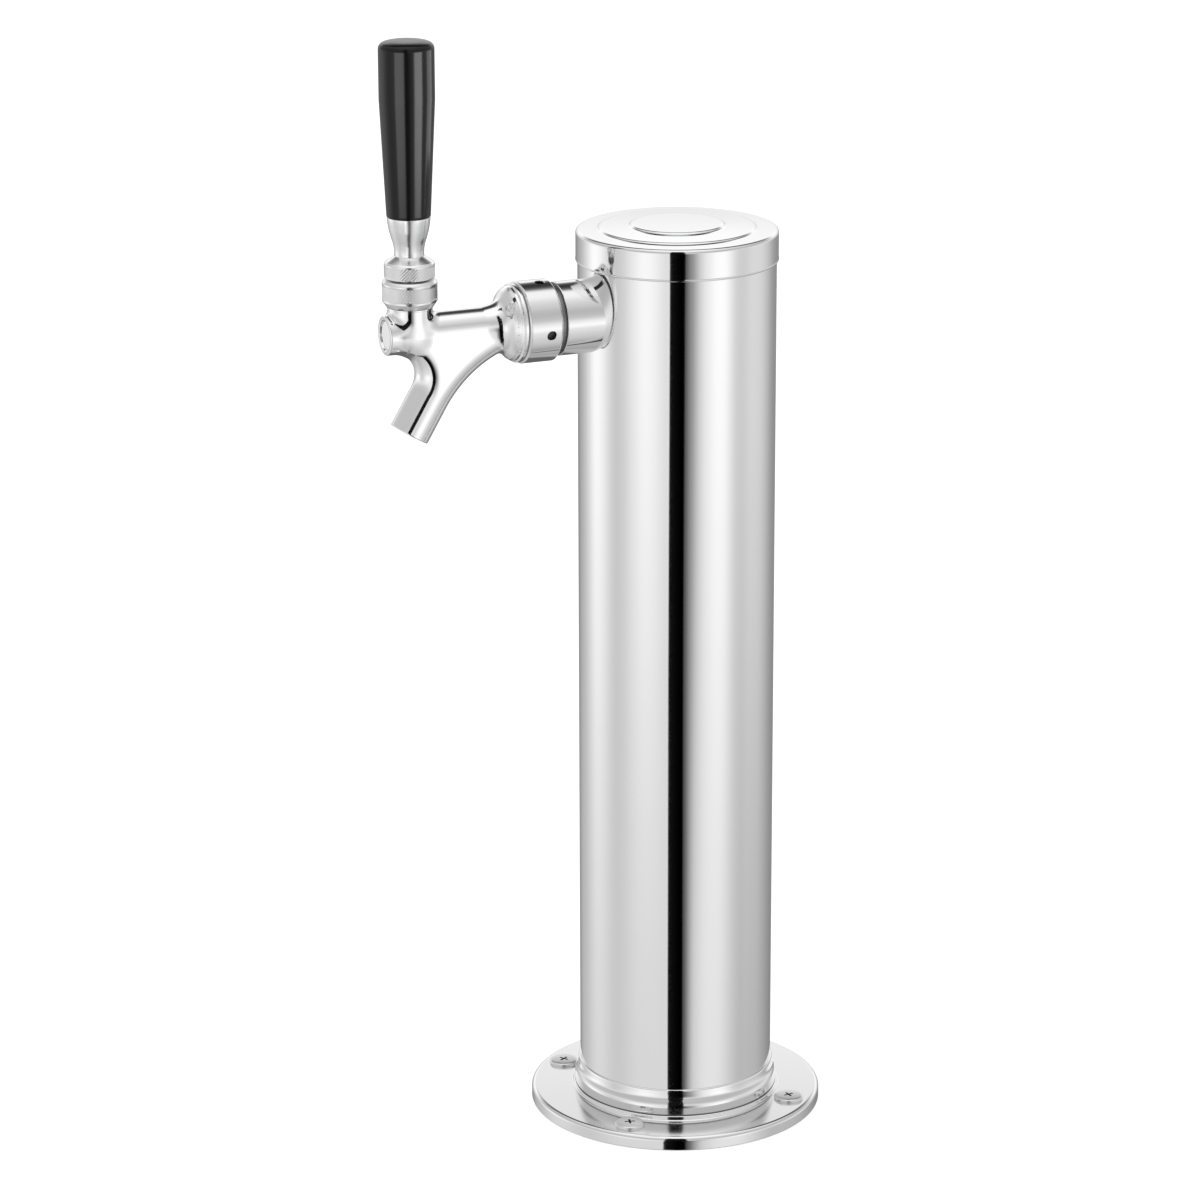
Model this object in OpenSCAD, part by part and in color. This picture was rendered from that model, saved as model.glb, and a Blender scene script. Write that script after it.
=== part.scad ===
// Beer tower: one upright tube on a screwed-down flange, with one tap and a pull-off cap.
// All sizes are in millimetres. +Z is up, the tap points to -Y, and Z = 0 is the resting face.

/* [Overall] */
// Height from the resting face to the top of the tap handle
total_h = 435; // [425:1:450]

/* [Column] */
// Outer radius of the upright tube
column_r = 38; // [37:0.1:38.5]
// Sheet thickness of the tube
column_wall = 1.5; // [1.2:0.1:2]

/* [Cap] */
// Height of the lower edge of the cap's skirt above the tap's long axis
cap_skirt_up = 18.5; // [17.8:0.1:21]
// Height of the cap from that edge to its shoulder, where the flat top begins
cap_h = 12.1; // [11.5:0.1:13]
// Radial gap between the tube and the sliding cap
cap_gap = 0.08; // [0.05:0.01:0.1]
// Sheet thickness of the cap
cap_wall = 0.62; // [0.55:0.01:0.8]
// Rise of the two stepped rings in the middle of the cap
cap_crown_h = 2.2; // [1.5:0.1:3]
// Height of the rounded edge of the cap
cap_edge_h = 1.2; // [0.8:0.1:1.6]
// Height of the small bead round the skirt's lower edge
cap_bead_h = 0.9; // [0.6:0.1:1.2]
// How far that bead stands out
cap_bead_out = 0.12; // [0.05:0.01:0.2]
// Gap between the tube's top edge and the inside of the cap
cap_seat_gap = 0.05; // [0.02:0.01:0.1]

/* [Base flange] */
// Width of the flange outside the tube
flange_w = 19.5; // [19:0.1:22]
// Height of the flat part of the flange
flange_top_z = 5.5; // [5:0.1:6.5]
// Sheet thickness of the flange
flange_wall = 1.5; // [1.2:0.1:2]
// Height of the pressed collar round the tube
flange_collar_z = 17.4; // [15:0.1:20]
// Thickness of that collar at its top
flange_collar_wall = 0.7; // [0.5:0.05:1]
// Size of the rounded outer edge of the flange
flange_edge = 1.8; // [1.2:0.1:2.4]
// Width of the rubber ring under the flange
gasket_w = 13.5; // [12.5:0.1:14]
// Gap between the rubber ring and the flange's rim
gasket_gap = 0.8; // [0.6:0.1:1]

/* [Mounting screws] */
// Share of the flange's width at which the screws stand, from the tube outwards
screw_place_share = 0.538462; // [0.53:0.001:0.55]
// Gap between a screw head and the foot of the flange's collar
screw_foot_gap = 1.25; // [1:0.05:1.5]
// Number of screws
screw_count = 4; // [4:4:4]
// Radius of a screw head
screw_head_r = 5.75; // [5.5:0.05:6]
// Height of a screw head above the flange
screw_head_h = 1.5; // [1.3:0.1:2]
// Radius of a screw shank
screw_shank_r = 2.1; // [2:0.05:2.2]
// Radius of the screw's hole in the flange
screw_hole_r = 3.6; // [3.4:0.05:3.8]
// Radius of the screw's hole in the rubber ring
screw_gasket_r = 4.4; // [4.2:0.1:4.6]
// Width of one slot of the cross recess
recess_w = 1.3; // [1.1:0.1:1.5]
// Length of one slot of the cross recess
recess_l = 5.6; // [5:0.1:6]
// Depth of the cross recess
recess_d = 1.1; // [0.9:0.1:1.2]

/* [Tap lengths] */
// Length of the sleeve from the tube's front to its shoulder
sleeve_len = 12.45; // [11.5:0.05:13]
// Length of the narrow nose in front of the sleeve
sleeve_nose_len = 2.25; // [1.8:0.05:2.6]
// Length of the coupling nut
nut_len = 13.5; // [13:0.1:14]
// Length of the large ring of the tap behind its flare
ring_len = 1.7; // [1.4:0.1:2]
// Width of the groove between the two rings
ring_groove = 0.4; // [0.3:0.05:0.5]
// Length of the small ring of the tap
small_ring_len = 1; // [0.8:0.1:1.2]
// Length of the flare that runs down to the barrel
flare_len = 7.2; // [6.8:0.1:7.6]
// Distance from the nut's front to the handle's axis
neck_from_nut = 42.2; // [41.5:0.1:43]
// Distance from the handle's axis to the front face of the tap
boss_from_neck = 10.3; // [10:0.1:10.6]

/* [Tap body] */
// Radius of the sleeve between the tube and the nut
sleeve_r = 14.1; // [13.8:0.1:14.4]
// Radius of the sleeve's narrow nose
sleeve_nose_r = 12.9; // [12.7:0.1:13.1]
// Radius of the coupling nut
nut_r = 15.6; // [15.4:0.1:15.8]
// Size of the nut's chamfers
nut_chamfer = 0.9; // [0.6:0.1:1]
// Radius of the spanner holes in the nut
spanner_hole_r = 1.85; // [1.7:0.05:2]
// Depth of the spanner holes
spanner_hole_d = 1.7; // [1.5:0.1:1.8]
// Distance of the spanner holes from the nut's back
spanner_hole_x = 4.8; // [4.5:0.1:5]
// Angle of the first spanner hole round the tap's axis
spanner_turn = -9.5; // [-20:0.5:0]
// Radius of the large ring of the tap
ring_r = 15; // [14.8:0.1:15.1]
// Radius of the small ring of the tap
small_ring_r = 14.2; // [14:0.1:14.4]
// Radius of the front boss
boss_r = 7.5; // [7.4:0.05:7.6]
// Radius of the barrel at its slimmest
barrel_r = 7.2; // [7.1:0.05:7.3]
// Radius of the barrel where the flare begins
barrel_back_r = 7.45; // [7.4:0.01:7.55]
// Radius of the upright neck
neck_r = 8.38; // [8.3:0.01:8.45]
// Height of the lever's pivot above the tap's axis
pivot_up = 12.9; // [12.7:0.1:13.1]

/* [Spout] */
// Outer radius of the spout
spout_r = 7.75; // [7.5:0.05:7.9]
// Radius of the hole in the spout
spout_bore_r = 5.3; // [5.2:0.05:5.4]
// Radius of the narrower way above the spout's mouth
spout_way_r = 4.9; // [4.7:0.05:5]
// Length of the spout's mouth at its full bore
spout_mouth_len = 26; // [22:0.5:28]
// Lean of the spout away from upright, in degrees
spout_lean = 30.65; // [29.5:0.05:31.5]
// Length of the spout from the tap's axis to its tip
spout_len = 45.2; // [43:0.1:47]
// Distance from the handle's axis back to where the spout's axis meets the tap's axis
spout_back = 21.9; // [21.5:0.1:22.3]
// Half width of the webs that blend the spout into the body
web_half_w = 4.6; // [4:0.1:5]

/* [Valve] */
// Radius of the bore that the valve shaft runs in
valve_bore_r = 5.68; // [5.65:0.01:5.7]
// Radial gap round the valve shaft's piston
piston_gap = 0.06; // [0.04:0.01:0.08]
// Radius of the valve shaft's thin stem
stem_r = 2.6; // [2.4:0.1:2.8]
// Radius of the opening that the seat washer closes
seat_r = 4.3; // [4.2:0.05:4.4]
// Radius of the seat washer
seat_washer_r = 5.2; // [5.1:0.05:5.3]
// Thickness of the seat washer
seat_washer_t = 3; // [2.8:0.1:3.2]
// Gap between the closed seat washer and its seat
seat_gap = 0.05; // [0.03:0.01:0.08]
// Radius of the cavity round the seat washer
cavity_r = 6.6; // [6.5:0.05:6.7]
// Recess of the shaft's end behind the boss face
shaft_recess = 1.1; // [0.9:0.1:1.3]
// Thickness of the rubber seal ring on the shaft
seal_t = 1.76; // [1.7:0.02:1.8]

/* [Lever and bonnet] */
// Radius of the lever's ball
ball_r = 6.4; // [6.3:0.05:6.45]
// Gap between the ball and its seats
ball_gap = 0.25; // [0.2:0.05:0.3]
// Radius of the socket in the neck
socket_r = 6.75; // [6.7:0.01:6.8]
// Radius of the lever above its ball
lever_stem_r = 3; // [2.8:0.1:3.1]
// Radius of the lever's rod below its ball
lever_rod_r = 2.2; // [2:0.1:2.3]
// Radius of the lever's ball tip
lever_tip_r = 2.3; // [2.2:0.05:2.35]
// Radius of the lever's thread, 3/8 inch
lever_thread_r = 4.76; // [4.7:0.02:4.8]
// Gap round the lever's tip in the shaft
tip_gap = 0.35; // [0.3:0.05:0.4]
// Radius of the bonnet over its knurl
bonnet_r = 10.41; // [10.3:0.01:10.5]
// Radius of the lever collar over its knurl
collar_r = 9.57; // [9.45:0.01:9.6]
// Radius of the round gap that the collar swings on
collar_sphere_r = 12.8; // [12.75:0.01:12.9]

/* [Handle] */
// Length of the black handle
handle_len = 65.7; // [64:0.1:68]
// Radius of the handle at its top
handle_r = 10.43; // [10.2:0.01:10.8]
// Radius of the handle at its foot
handle_foot_r = 8.2; // [8.1:0.05:8.4]
// Radius of the handle's rounded top edge
handle_edge = 2.4; // [2:0.1:3]
// Rise of the handle's gently domed top inside that edge
handle_dome_h = 0.5; // [0.3:0.1:0.8]
// Height of the chrome ferrule under the handle
ferrule_h = 14.8; // [14.5:0.1:15.2]
// Radius of the ferrule at its foot
ferrule_foot_r = 5.57; // [5.5:0.01:5.8]
// Radius of the ferrule at its top
ferrule_top_r = 8.15; // [8.05:0.01:8.2]
// Outer radius of the threaded insert in the handle
insert_r = 6.4; // [6.2:0.1:6.5]
// Length of the threaded insert
insert_len = 18; // [16:0.5:20]

/* [Shank] */
// Radius of the shank over its thread, 7/8 inch
shank_r = 11.1; // [11:0.05:11.15]
// Radius of the beer way through the shank
shank_bore_r = 3.2; // [3:0.1:3.6]
// Radius of the shank's front flange
shank_flange_r = 12.6; // [12.5:0.1:12.7]
// Thickness of the shank's front flange
shank_flange_t = 1.5; // [1.4:0.1:1.6]
// Thickness of the coupling washer
coupling_washer_t = 1.5; // [1.4:0.1:1.6]
// Radius of the tap's tail inside the nut
tail_r = 13.3; // [13.2:0.05:13.3]
// Radius of the nut's thread
nut_bore_r = 13.4; // [13.38:0.02:13.45]
// Thickness of the nut's back lip
nut_lip = 3; // [2.8:0.1:3.2]
// Clearance of holes round the shank
shank_clear = 0.2; // [0.15:0.05:0.3]
// Gap between the locknut and the tail nut
tail_nut_gap = 1.5; // [1.2:0.1:2]
// Length of shank that the tail nut reaches over
tail_nut_grip = 4; // [3.5:0.1:4.5]
// Thickness of the tail nut's back lip
tail_nut_lip = 1.8; // [1.6:0.1:2]
// Radius of the saddle washer inside the tube
saddle_r = 16; // [15.5:0.1:16.5]
// Gap between the tube's inner face and the locknut, filled by the saddle washer
saddle_t = 5; // [4.8:0.1:5.4]
// Width across the flats of the locknut
locknut_af = 27; // [26.5:0.1:28]
// Thickness of the locknut
locknut_t = 6; // [5.5:0.1:6]
// Width across the flats of the tail nut
tail_nut_af = 27; // [26.5:0.1:28]
// Thickness of the tail washer
tail_washer_t = 1.2; // [1:0.1:1.4]

/* [Tailpiece] */
// Radius of the tailpiece tube
elbow_r = 4.8; // [4.7:0.05:4.9]
// Radius of the tailpiece's flange
elbow_flange_r = 8.5; // [8.3:0.1:8.7]
// Thickness of the tailpiece's flange
elbow_flange_t = 2; // [1.8:0.1:2.2]
// Gap between the tail nut and the tailpiece's drop
elbow_nut_gap = 2.2; // [2:0.1:3]
// Radius of the hose nose at the tailpiece's end
nose_r = 3.4; // [3.3:0.05:3.5]
// Length of the hose nose
nose_len = 4; // [3.8:0.1:4.5]
// Radius of the hose barbs
barb_r = 4.5; // [4.4:0.05:4.6]
// Length of one hose barb
barb_len = 4; // [3.8:0.1:4.2]
// Height of the tailpiece's tip below the tap's axis
elbow_drop = 30; // [28:0.5:32]

/* [Hidden] */
$fn = 96;
over = 1;
collar_cone_up = 16.9;
tap_z = total_h - handle_len - ferrule_h - collar_cone_up - pivot_up;
cap_skirt_z = tap_z + cap_skirt_up;
cap_rim_z = cap_skirt_z + cap_h;
nut_back = column_r + sleeve_len + sleeve_nose_len;
nut_front = nut_back + nut_len;
ring_front = nut_front + ring_len;
small_ring_back = ring_front + ring_groove;
small_ring_front = small_ring_back + small_ring_len;
flare_front = small_ring_front + flare_len;
neck_f = nut_front + neck_from_nut;
boss_front = neck_f + boss_from_neck;
pivot_z = tap_z + pivot_up;
column_in_r = column_r - column_wall;
column_bottom_z = flange_top_z - flange_wall;
column_top_z = cap_rim_z - cap_wall - cap_seat_gap;
cap_in_r = column_r + cap_gap;
cap_r = cap_in_r + cap_wall;
flange_r = column_r + flange_w;
screw_r = column_r + flange_w * screw_place_share;
flange_root_w = screw_r - screw_head_r - screw_foot_gap - column_r;
flange_foot_edge = 0.3;
quarter = 90;
half_turn = 45;

// Shares of radius and of crown height along the cap's top, from its edge to its middle
cap_top_share = [[0.969, 0], [0.793, 0.068], [0.775, 0.136], [0.765, 0.227], [0.754, 0.341],
    [0.744, 0.386], [0.476, 0.568], [0.459, 0.682], [0.45, 0.818], [0.442, 0.9545],
    [0.43, 1], [0, 1]];
// Shares of the cap's rounded edge: outwards and upwards
cap_edge_share = [[1, 0], [0.924, 0.383], [0.707, 0.707], [0.383, 0.924], [0, 1]];
// Shares of the flange collar: of the way from its top's wall to its foot, and of its height
collar_shape_share = [[-0.054, 1], [0, 0.958], [0.021, 0.849], [0.071, 0.748], [0.196, 0.664],
    [0.375, 0.58], [0.5, 0.479], [0.536, 0.311], [0.564, 0.168], [0.696, 0.126], [0.732, 0.059],
    [0.821, 0.013], [1, 0]];
// Shares of the flange's rounded edge: outwards and upwards
edge_round_share = [[0, 1], [0.383, 0.924], [0.707, 0.707], [0.924, 0.383], [1, 0]];
// Shares of a screw head: of its radius and of its height
head_share = [[1, 0], [1, 0.13], [0.93, 0.35], [0.77, 0.66], [0.45, 0.93], [0, 1]];
// Shares of the flare: of its length from the front, and of the way from barrel to small ring
flare_share = [[0, 0], [0.208, 0.098], [0.43, 0.243], [0.625, 0.534], [0.82, 0.825], [1, 0.971],
    [1, 1]];
// Shares of the bonnet's sphere room: outside of the bonnet above the pivot
bonnet_foot_down = 2.3;
bonnet_foot_w = 0.5;
bonnet_foot_r = neck_r + bonnet_foot_w;
close_fit = 0.02;
washer_fit = 0.03;
bonnet_wide_up = 6.7;
bonnet_top_up = 8;
bonnet_top_r = bonnet_r * 0.912;
bonnet_ceiling_up = 5.8;
bonnet_hole_top_r = 7.6;
bonnet_hole_r = 7;
ring_foot_up = 2.8;
ring_seat_up = 3.9;
ring_out_r = neck_r - close_fit;
ring_cone_r = 6.4;
washer_top_down = 3.5;
washer_foot_down = 5.5;
washer_out_r = socket_r - washer_fit;
washer_in_r = 5.35;
slot_half_w = 2.6;
slot_back = 6.6;
collar_foot_up = 8.8;
collar_top_up = 14;
collar_chamfer_h = 0.7;
collar_cone_r = collar_r * 0.94;
thread_foot_up = 11.9;
ferrule_foot_z = pivot_z + collar_cone_up;
ferrule_top_z = ferrule_foot_z + ferrule_h;
// Shares of the ferrule: of the way from foot radius to top radius, and of its height
ferrule_share = [[0, 0], [0, 0.081], [0.143, 0.284], [0.5, 0.493], [0.787, 0.696], [1, 1]];
handle_wide_share = 0.667;
handle_shoulder_z = total_h - handle_dome_h;
// Shares of the handle's dome: of its radius and of its rise
handle_dome_share = [[1, 0], [0.8, 0.6], [0.55, 0.9], [0.3, 0.99], [0, 1]];
edge_45 = 0.293;
edge_22 = 0.617;
edge_67 = 0.076;
spout_f = neck_f - spout_back;
seat_from_nut = 4.2;
valve_end = nut_front - seat_from_nut;
seat_t = 2;
tail_len = 7.5;
tail_end = nut_front - tail_len;
shank_front = tail_end - coupling_washer_t;
shank_flange_back = shank_front - shank_flange_t;
mouth_depth = 6.9;
mouth_end = shank_front - mouth_depth;
mouth_r = 6.9;
piston_r = valve_bore_r - piston_gap;
piston_reach = 7.4;
piston_back = neck_f - piston_reach;
seal_from_back = 2;
seal_f = piston_back + seal_from_back;
seal_r = valve_bore_r - close_fit - seal_t / 2;
seal_groove_r = seal_r - seal_t / 2 - close_fit;
seal_groove_half = 1;
shaft_nut_r = 3.6;
shaft_nut_len = 1.5;
washer_front = valve_end - seat_gap;
tip_slot_half = lever_tip_r + tip_gap;
tip_slot_front = 4.9;
tip_slot_step = 1.5;
saddle_back = column_in_r - saddle_t;
locknut_back = saddle_back - locknut_t;
hex_share = 0.57735;
tail_nut_front = locknut_back - tail_nut_gap;
shank_end = tail_nut_front - tail_nut_grip;
tail_washer_back = shank_end - tail_washer_t;
elbow_flange_back = tail_washer_back - elbow_flange_t;
tail_nut_back = elbow_flange_back - tail_nut_lip;
elbow_x = tail_nut_back - elbow_nut_gap - elbow_r;
elbow_lip_gap = 0.2;
elbow_bore_r = 3.2;
nose_bore_r = 2.4;
nose_z = tap_z - elbow_drop;
boss_chamfer = 0.4;
boss_len = 6.3;
neck_ball_less = 0.18;
web_shift = 4.5;
lever_end_gap = 1;
// Points of the back web, along the tap and up from its axis
web_back_share = [[-0.62, 0], [-0.62, -0.85], [-0.45, -0.76], [-0.25, -0.73], [0.1, -0.82],
    [0.45, -1.07], [0.66, -1.25], [0.95, -0.7], [0.95, 0]];
web_front_share = [[-0.55, 0], [-0.55, -1.15], [-0.24, -1.38], [-0.16, -1.36], [-0.14, -1.17],
    [-0.06, -0.9], [0.07, -0.65], [0.12, -0.4], [0.12, 0]];

// Sub-part to draw, or all

// A rod along the tap's axis between two distances in front of the column's axis
module rod(f0, f1, r)
    translate([0, -f0, tap_z]) rotate([quarter, 0, 0]) cylinder(h = f1 - f0, r = r);

// A hexagon along the tap's axis
module hex_rod(f0, f1, af)
    translate([0, -f0, tap_z]) rotate([quarter, 0, 0])
        cylinder(h = f1 - f0, r = af * hex_share, $fn = 6);

// A shape turned round the tap's axis, from radius and distance in front
module turned_forward(points)
    translate([0, 0, tap_z]) rotate([quarter, 0, 0]) rotate_extrude() polygon(points);

// A rod along the handle's axis between two heights over the pivot
module stalk(up0, up1, r)
    translate([0, -neck_f, pivot_z + up0]) cylinder(h = up1 - up0, r = r);

// A shape turned round the handle's axis, from radius and height
module turned_upright(points)
    translate([0, -neck_f, 0]) rotate_extrude() polygon(points);

// A ball at the lever's pivot
module pivot_ball(r)
    translate([0, -neck_f, pivot_z]) sphere(r = r);

// A flat web in the middle plane, from points forward and up
module web(points)
    translate([0, 0, tap_z]) rotate([quarter, 0, -quarter])
        linear_extrude(height = 2 * web_half_w, center = true) polygon(points);

// Things at the four screws
module at_screws()
    for (i = [0 : screw_count - 1])
        rotate([0, 0, half_turn + i * 360 / screw_count]) translate([screw_r, 0, 0]) children();

// The upright tube
module column_tube() color("silver")
    difference() {
        translate([0, 0, column_bottom_z])
            cylinder(h = column_top_z - column_bottom_z, r = column_r);
        translate([0, 0, column_bottom_z - over])
            cylinder(h = column_top_z - column_bottom_z + 2 * over, r = column_in_r);
        rod(column_in_r - 3 * saddle_t, column_r + over, shank_r + shank_clear);
    }

// The pull-off cap
module top_cap() color("gainsboro")
    rotate_extrude() polygon(concat(
        [[cap_in_r, cap_skirt_z], [cap_r, cap_skirt_z],
            [cap_r + cap_bead_out, cap_skirt_z + cap_bead_h * 0.35],
            [cap_r + cap_bead_out, cap_skirt_z + cap_bead_h * 0.65],
            [cap_r, cap_skirt_z + cap_bead_h]],
        [for (s = cap_edge_share) [cap_r - cap_edge_h + s[0] * cap_edge_h,
            cap_rim_z - cap_edge_h + s[1] * cap_edge_h]],
        [for (s = cap_top_share) if (s[0] < 0.96) [cap_r * s[0], cap_rim_z + s[1] * cap_crown_h]],
        [for (i = [len(cap_top_share) - 1 : -1 : 1]) [cap_r * cap_top_share[i][0],
            cap_rim_z + cap_top_share[i][1] * cap_crown_h - cap_wall]],
        [[cap_in_r, cap_rim_z - cap_wall]]));

// The pressed flange
module base_flange() color("silver")
    difference() {
        rotate_extrude() polygon(concat(
            [[column_r, flange_collar_z]],
            [for (s = collar_shape_share)
                [column_r + flange_collar_wall + s[0] * (flange_root_w - flange_collar_wall),
                    flange_top_z + s[1] * (flange_collar_z - flange_top_z)]],
            [for (s = edge_round_share) [flange_r - flange_edge + s[0] * flange_edge,
                flange_top_z - flange_edge + s[1] * flange_edge]],
            [[flange_r, flange_foot_edge], [flange_r - flange_foot_edge, 0],
                [flange_r - flange_wall, 0],
                [flange_r - flange_wall, flange_top_z - flange_wall - gasket_gap],
                [flange_r - flange_wall - gasket_gap, flange_top_z - flange_wall],
                [column_r, flange_top_z - flange_wall]]));
        at_screws() translate([0, 0, -over])
            cylinder(h = flange_top_z + 2 * over, r = screw_hole_r);
    }

// The rubber ring under the flange
module flange_gasket() color("dimgray")
    difference() {
        cylinder(h = flange_top_z - flange_wall, r = flange_r - flange_wall - gasket_gap);
        translate([0, 0, -over])
            cylinder(h = flange_top_z + 2 * over,
                r = flange_r - flange_wall - gasket_gap - gasket_w);
        at_screws() translate([0, 0, -over])
            cylinder(h = flange_top_z + 2 * over, r = screw_gasket_r);
    }

// The four cross-head screws
module mounting_screws() color("gainsboro")
    at_screws() difference() {
        union() {
            translate([0, 0, flange_top_z]) rotate_extrude() polygon(concat([[0, 0]],
                [for (s = head_share) [s[0] * screw_head_r, s[1] * screw_head_h]]));
            cylinder(h = flange_top_z, r = screw_shank_r);
        }
        translate([-recess_l / 2, -recess_w / 2, flange_top_z + screw_head_h - recess_d])
            cube([recess_l, recess_w, recess_d + over]);
        translate([-recess_w / 2, -recess_l / 2, flange_top_z + screw_head_h - recess_d])
            cube([recess_w, recess_l, recess_d + over]);
    }

// The sleeve between the tube and the coupling nut
module shank_sleeve() color("silver")
    difference() {
        union() {
            rod(column_r / 2, column_r + sleeve_len, sleeve_r);
            rod(column_r / 2, nut_back, sleeve_nose_r);
        }
        translate([0, 0, tap_z - 2 * sleeve_r]) cylinder(h = 4 * sleeve_r, r = column_r);
        rod(column_r / 4, nut_back + over, shank_r + shank_clear);
    }

// The saddle washer inside the tube
module saddle_washer() color("dimgray")
    difference() {
        intersection() {
            rod(saddle_back, column_r, saddle_r);
            translate([0, 0, tap_z - 2 * saddle_r]) cylinder(h = 4 * saddle_r, r = column_in_r);
        }
        rod(saddle_back - over, column_r + over, shank_r + shank_clear);
    }

// The threaded shank
module shank() color("silver")
    difference() {
        union() {
            rod(shank_end, shank_flange_back, shank_r);
            rod(shank_flange_back, shank_front, shank_flange_r);
        }
        rod(shank_end - over, shank_front + over, shank_bore_r);
        rod(mouth_end, shank_front + over, mouth_r);
    }

// The hexagon nut that holds the shank in the tube
module shank_locknut() color("goldenrod")
    difference() {
        hex_rod(locknut_back, saddle_back, locknut_af);
        rod(locknut_back - over, saddle_back + over, shank_r);
    }

// The washer at the shank's end
module tail_washer() color("dimgray")
    difference() {
        rod(tail_washer_back, shank_end, elbow_flange_r);
        rod(tail_washer_back - over, shank_end + over, shank_bore_r);
    }

// The nut that holds the tailpiece
module tail_nut() color("goldenrod")
    difference() {
        hex_rod(tail_nut_back, tail_nut_front, tail_nut_af);
        rod(elbow_flange_back, tail_nut_front + over, shank_r);
        rod(tail_nut_back - over, tail_nut_front, elbow_r + elbow_lip_gap);
    }

// The bent tailpiece with its hose barbs
module tail_elbow() color("silver")
    difference() {
        union() {
            rod(elbow_flange_back, tail_washer_back, elbow_flange_r);
            rod(elbow_x, elbow_flange_back, elbow_r);
            translate([0, -elbow_x, tap_z]) sphere(r = elbow_r * 1.04);
            translate([0, -elbow_x, nose_z + nose_len + 2 * barb_len])
                cylinder(h = elbow_drop - nose_len - 2 * barb_len, r = elbow_r * 0.8);
            for (i = [0 : 1])
                translate([0, -elbow_x, nose_z + nose_len + i * barb_len])
                    cylinder(h = barb_len, r1 = nose_r * 1.03, r2 = barb_r);
            translate([0, -elbow_x, nose_z]) cylinder(h = nose_len, r = nose_r);
        }
        rod(elbow_x, tail_washer_back + over, elbow_bore_r);
        translate([0, -elbow_x, tap_z]) sphere(r = elbow_bore_r * 1.04);
        translate([0, -elbow_x, nose_z - over])
            cylinder(h = elbow_drop + over, r = nose_bore_r);
    }

// The round coupling nut with its spanner holes
module coupling_nut() color("silver")
    difference() {
        turned_forward([[nut_bore_r, nut_front], [nut_r - nut_chamfer * 0.7, nut_front],
            [nut_r, nut_front - nut_chamfer * 0.7], [nut_r, nut_back + nut_chamfer],
            [nut_r - nut_chamfer, nut_back], [shank_r + shank_clear, nut_back],
            [shank_r + shank_clear, nut_back + nut_lip], [nut_bore_r, nut_back + nut_lip]]);
        for (i = [0 : 3])
            translate([0, -nut_back - spanner_hole_x, tap_z])
                rotate([0, -spanner_turn - i * quarter, 0])
                    translate([nut_r - spanner_hole_d, 0, 0]) rotate([0, quarter, 0])
                        cylinder(h = 2 * spanner_hole_d, r = spanner_hole_r);
    }

// The sealing washer between tap and shank
module coupling_washer() color("dimgray")
    difference() {
        rod(shank_front, tail_end, tail_r);
        rod(shank_front - over, tail_end + over, mouth_r);
    }

// The cast tap body
module faucet_body() color("silver")
    difference() {
        union() {
            turned_forward(concat([[0, boss_front], [boss_r - boss_chamfer, boss_front],
                [boss_r, boss_front - boss_chamfer], [boss_r, boss_front - boss_len],
                [barrel_r, neck_f - neck_r],
                [barrel_r, neck_f - 2 * neck_r]],
                [for (s = flare_share) [barrel_back_r + s[1] * (small_ring_r - barrel_back_r),
                    flare_front - s[0] * flare_len]],
                [[small_ring_r, small_ring_back], [small_ring_r - ring_groove, small_ring_back],
                    [small_ring_r - ring_groove, ring_front], [ring_r, ring_front],
                    [ring_r, nut_front], [tail_r, nut_front], [tail_r, tail_end],
                    [0, tail_end]]));
            translate([0, -neck_f, tap_z])
                cylinder(h = pivot_up + ring_foot_up, r = neck_r);
            translate([0, -neck_f, tap_z]) sphere(r = neck_r - neck_ball_less);
            translate([0, -spout_f, tap_z]) rotate([-spout_lean, 0, 0]) mirror([0, 0, 1])
                cylinder(h = spout_len, r = spout_r);
            web([for (s = web_back_share) [spout_f + s[0] * ring_r - web_shift, s[1] * ring_r * 0.9]]);
            web([for (s = web_front_share) [neck_f + s[0] * ring_r, s[1] * ring_r * 0.9]]);
        }
        rod(valve_end + seat_t, boss_front + over, valve_bore_r);
        rod(valve_end - over, boss_front, seat_r);
        rod(tail_end - over, valve_end, cavity_r);
        translate([0, -spout_f, tap_z]) rotate([-spout_lean, 0, 0]) mirror([0, 0, 1])
            cylinder(h = spout_len, r = spout_way_r);
        translate([0, -spout_f, tap_z]) rotate([-spout_lean, 0, 0]) mirror([0, 0, 1])
            translate([0, 0, spout_len - spout_mouth_len])
                cylinder(h = spout_mouth_len + over, r = spout_bore_r);
        stalk(-washer_foot_down, ring_foot_up + over, socket_r);
        pivot_ball(ball_r + ball_gap);
        translate([-slot_half_w, -neck_f - slot_half_w, tap_z])
            cube([2 * slot_half_w, slot_half_w + slot_back, pivot_up]);
    }

// The washer under the lever's ball
module ball_washer() color("white")
    difference() {
        stalk(-washer_foot_down, -washer_top_down, washer_out_r);
        stalk(-washer_foot_down - over, 0, washer_in_r);
        pivot_ball(ball_r + ball_gap);
    }

// The friction ring over the lever's ball
module friction_ring() color("white")
    difference() {
        stalk(ring_foot_up, bonnet_ceiling_up, ring_out_r);
        pivot_ball(ball_r + ball_gap);
        translate([0, -neck_f, pivot_z + ring_seat_up])
            cylinder(h = bonnet_ceiling_up - ring_seat_up + over,
                r1 = sqrt(pow(ball_r + ball_gap, 2) - pow(ring_seat_up, 2)),
                r2 = ring_cone_r * 1.06);
    }

// The lower knurled bonnet that closes the neck
module bonnet() color("gainsboro")
    turned_upright([[neck_r, pivot_z - bonnet_foot_down], [bonnet_foot_r, pivot_z - bonnet_foot_down],
        [bonnet_r, pivot_z], [bonnet_r, pivot_z + bonnet_wide_up],
        [bonnet_top_r, pivot_z + bonnet_top_up], [bonnet_hole_top_r, pivot_z + bonnet_top_up],
        [bonnet_hole_r, pivot_z + bonnet_ceiling_up], [neck_r, pivot_z + bonnet_ceiling_up]]);

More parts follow.
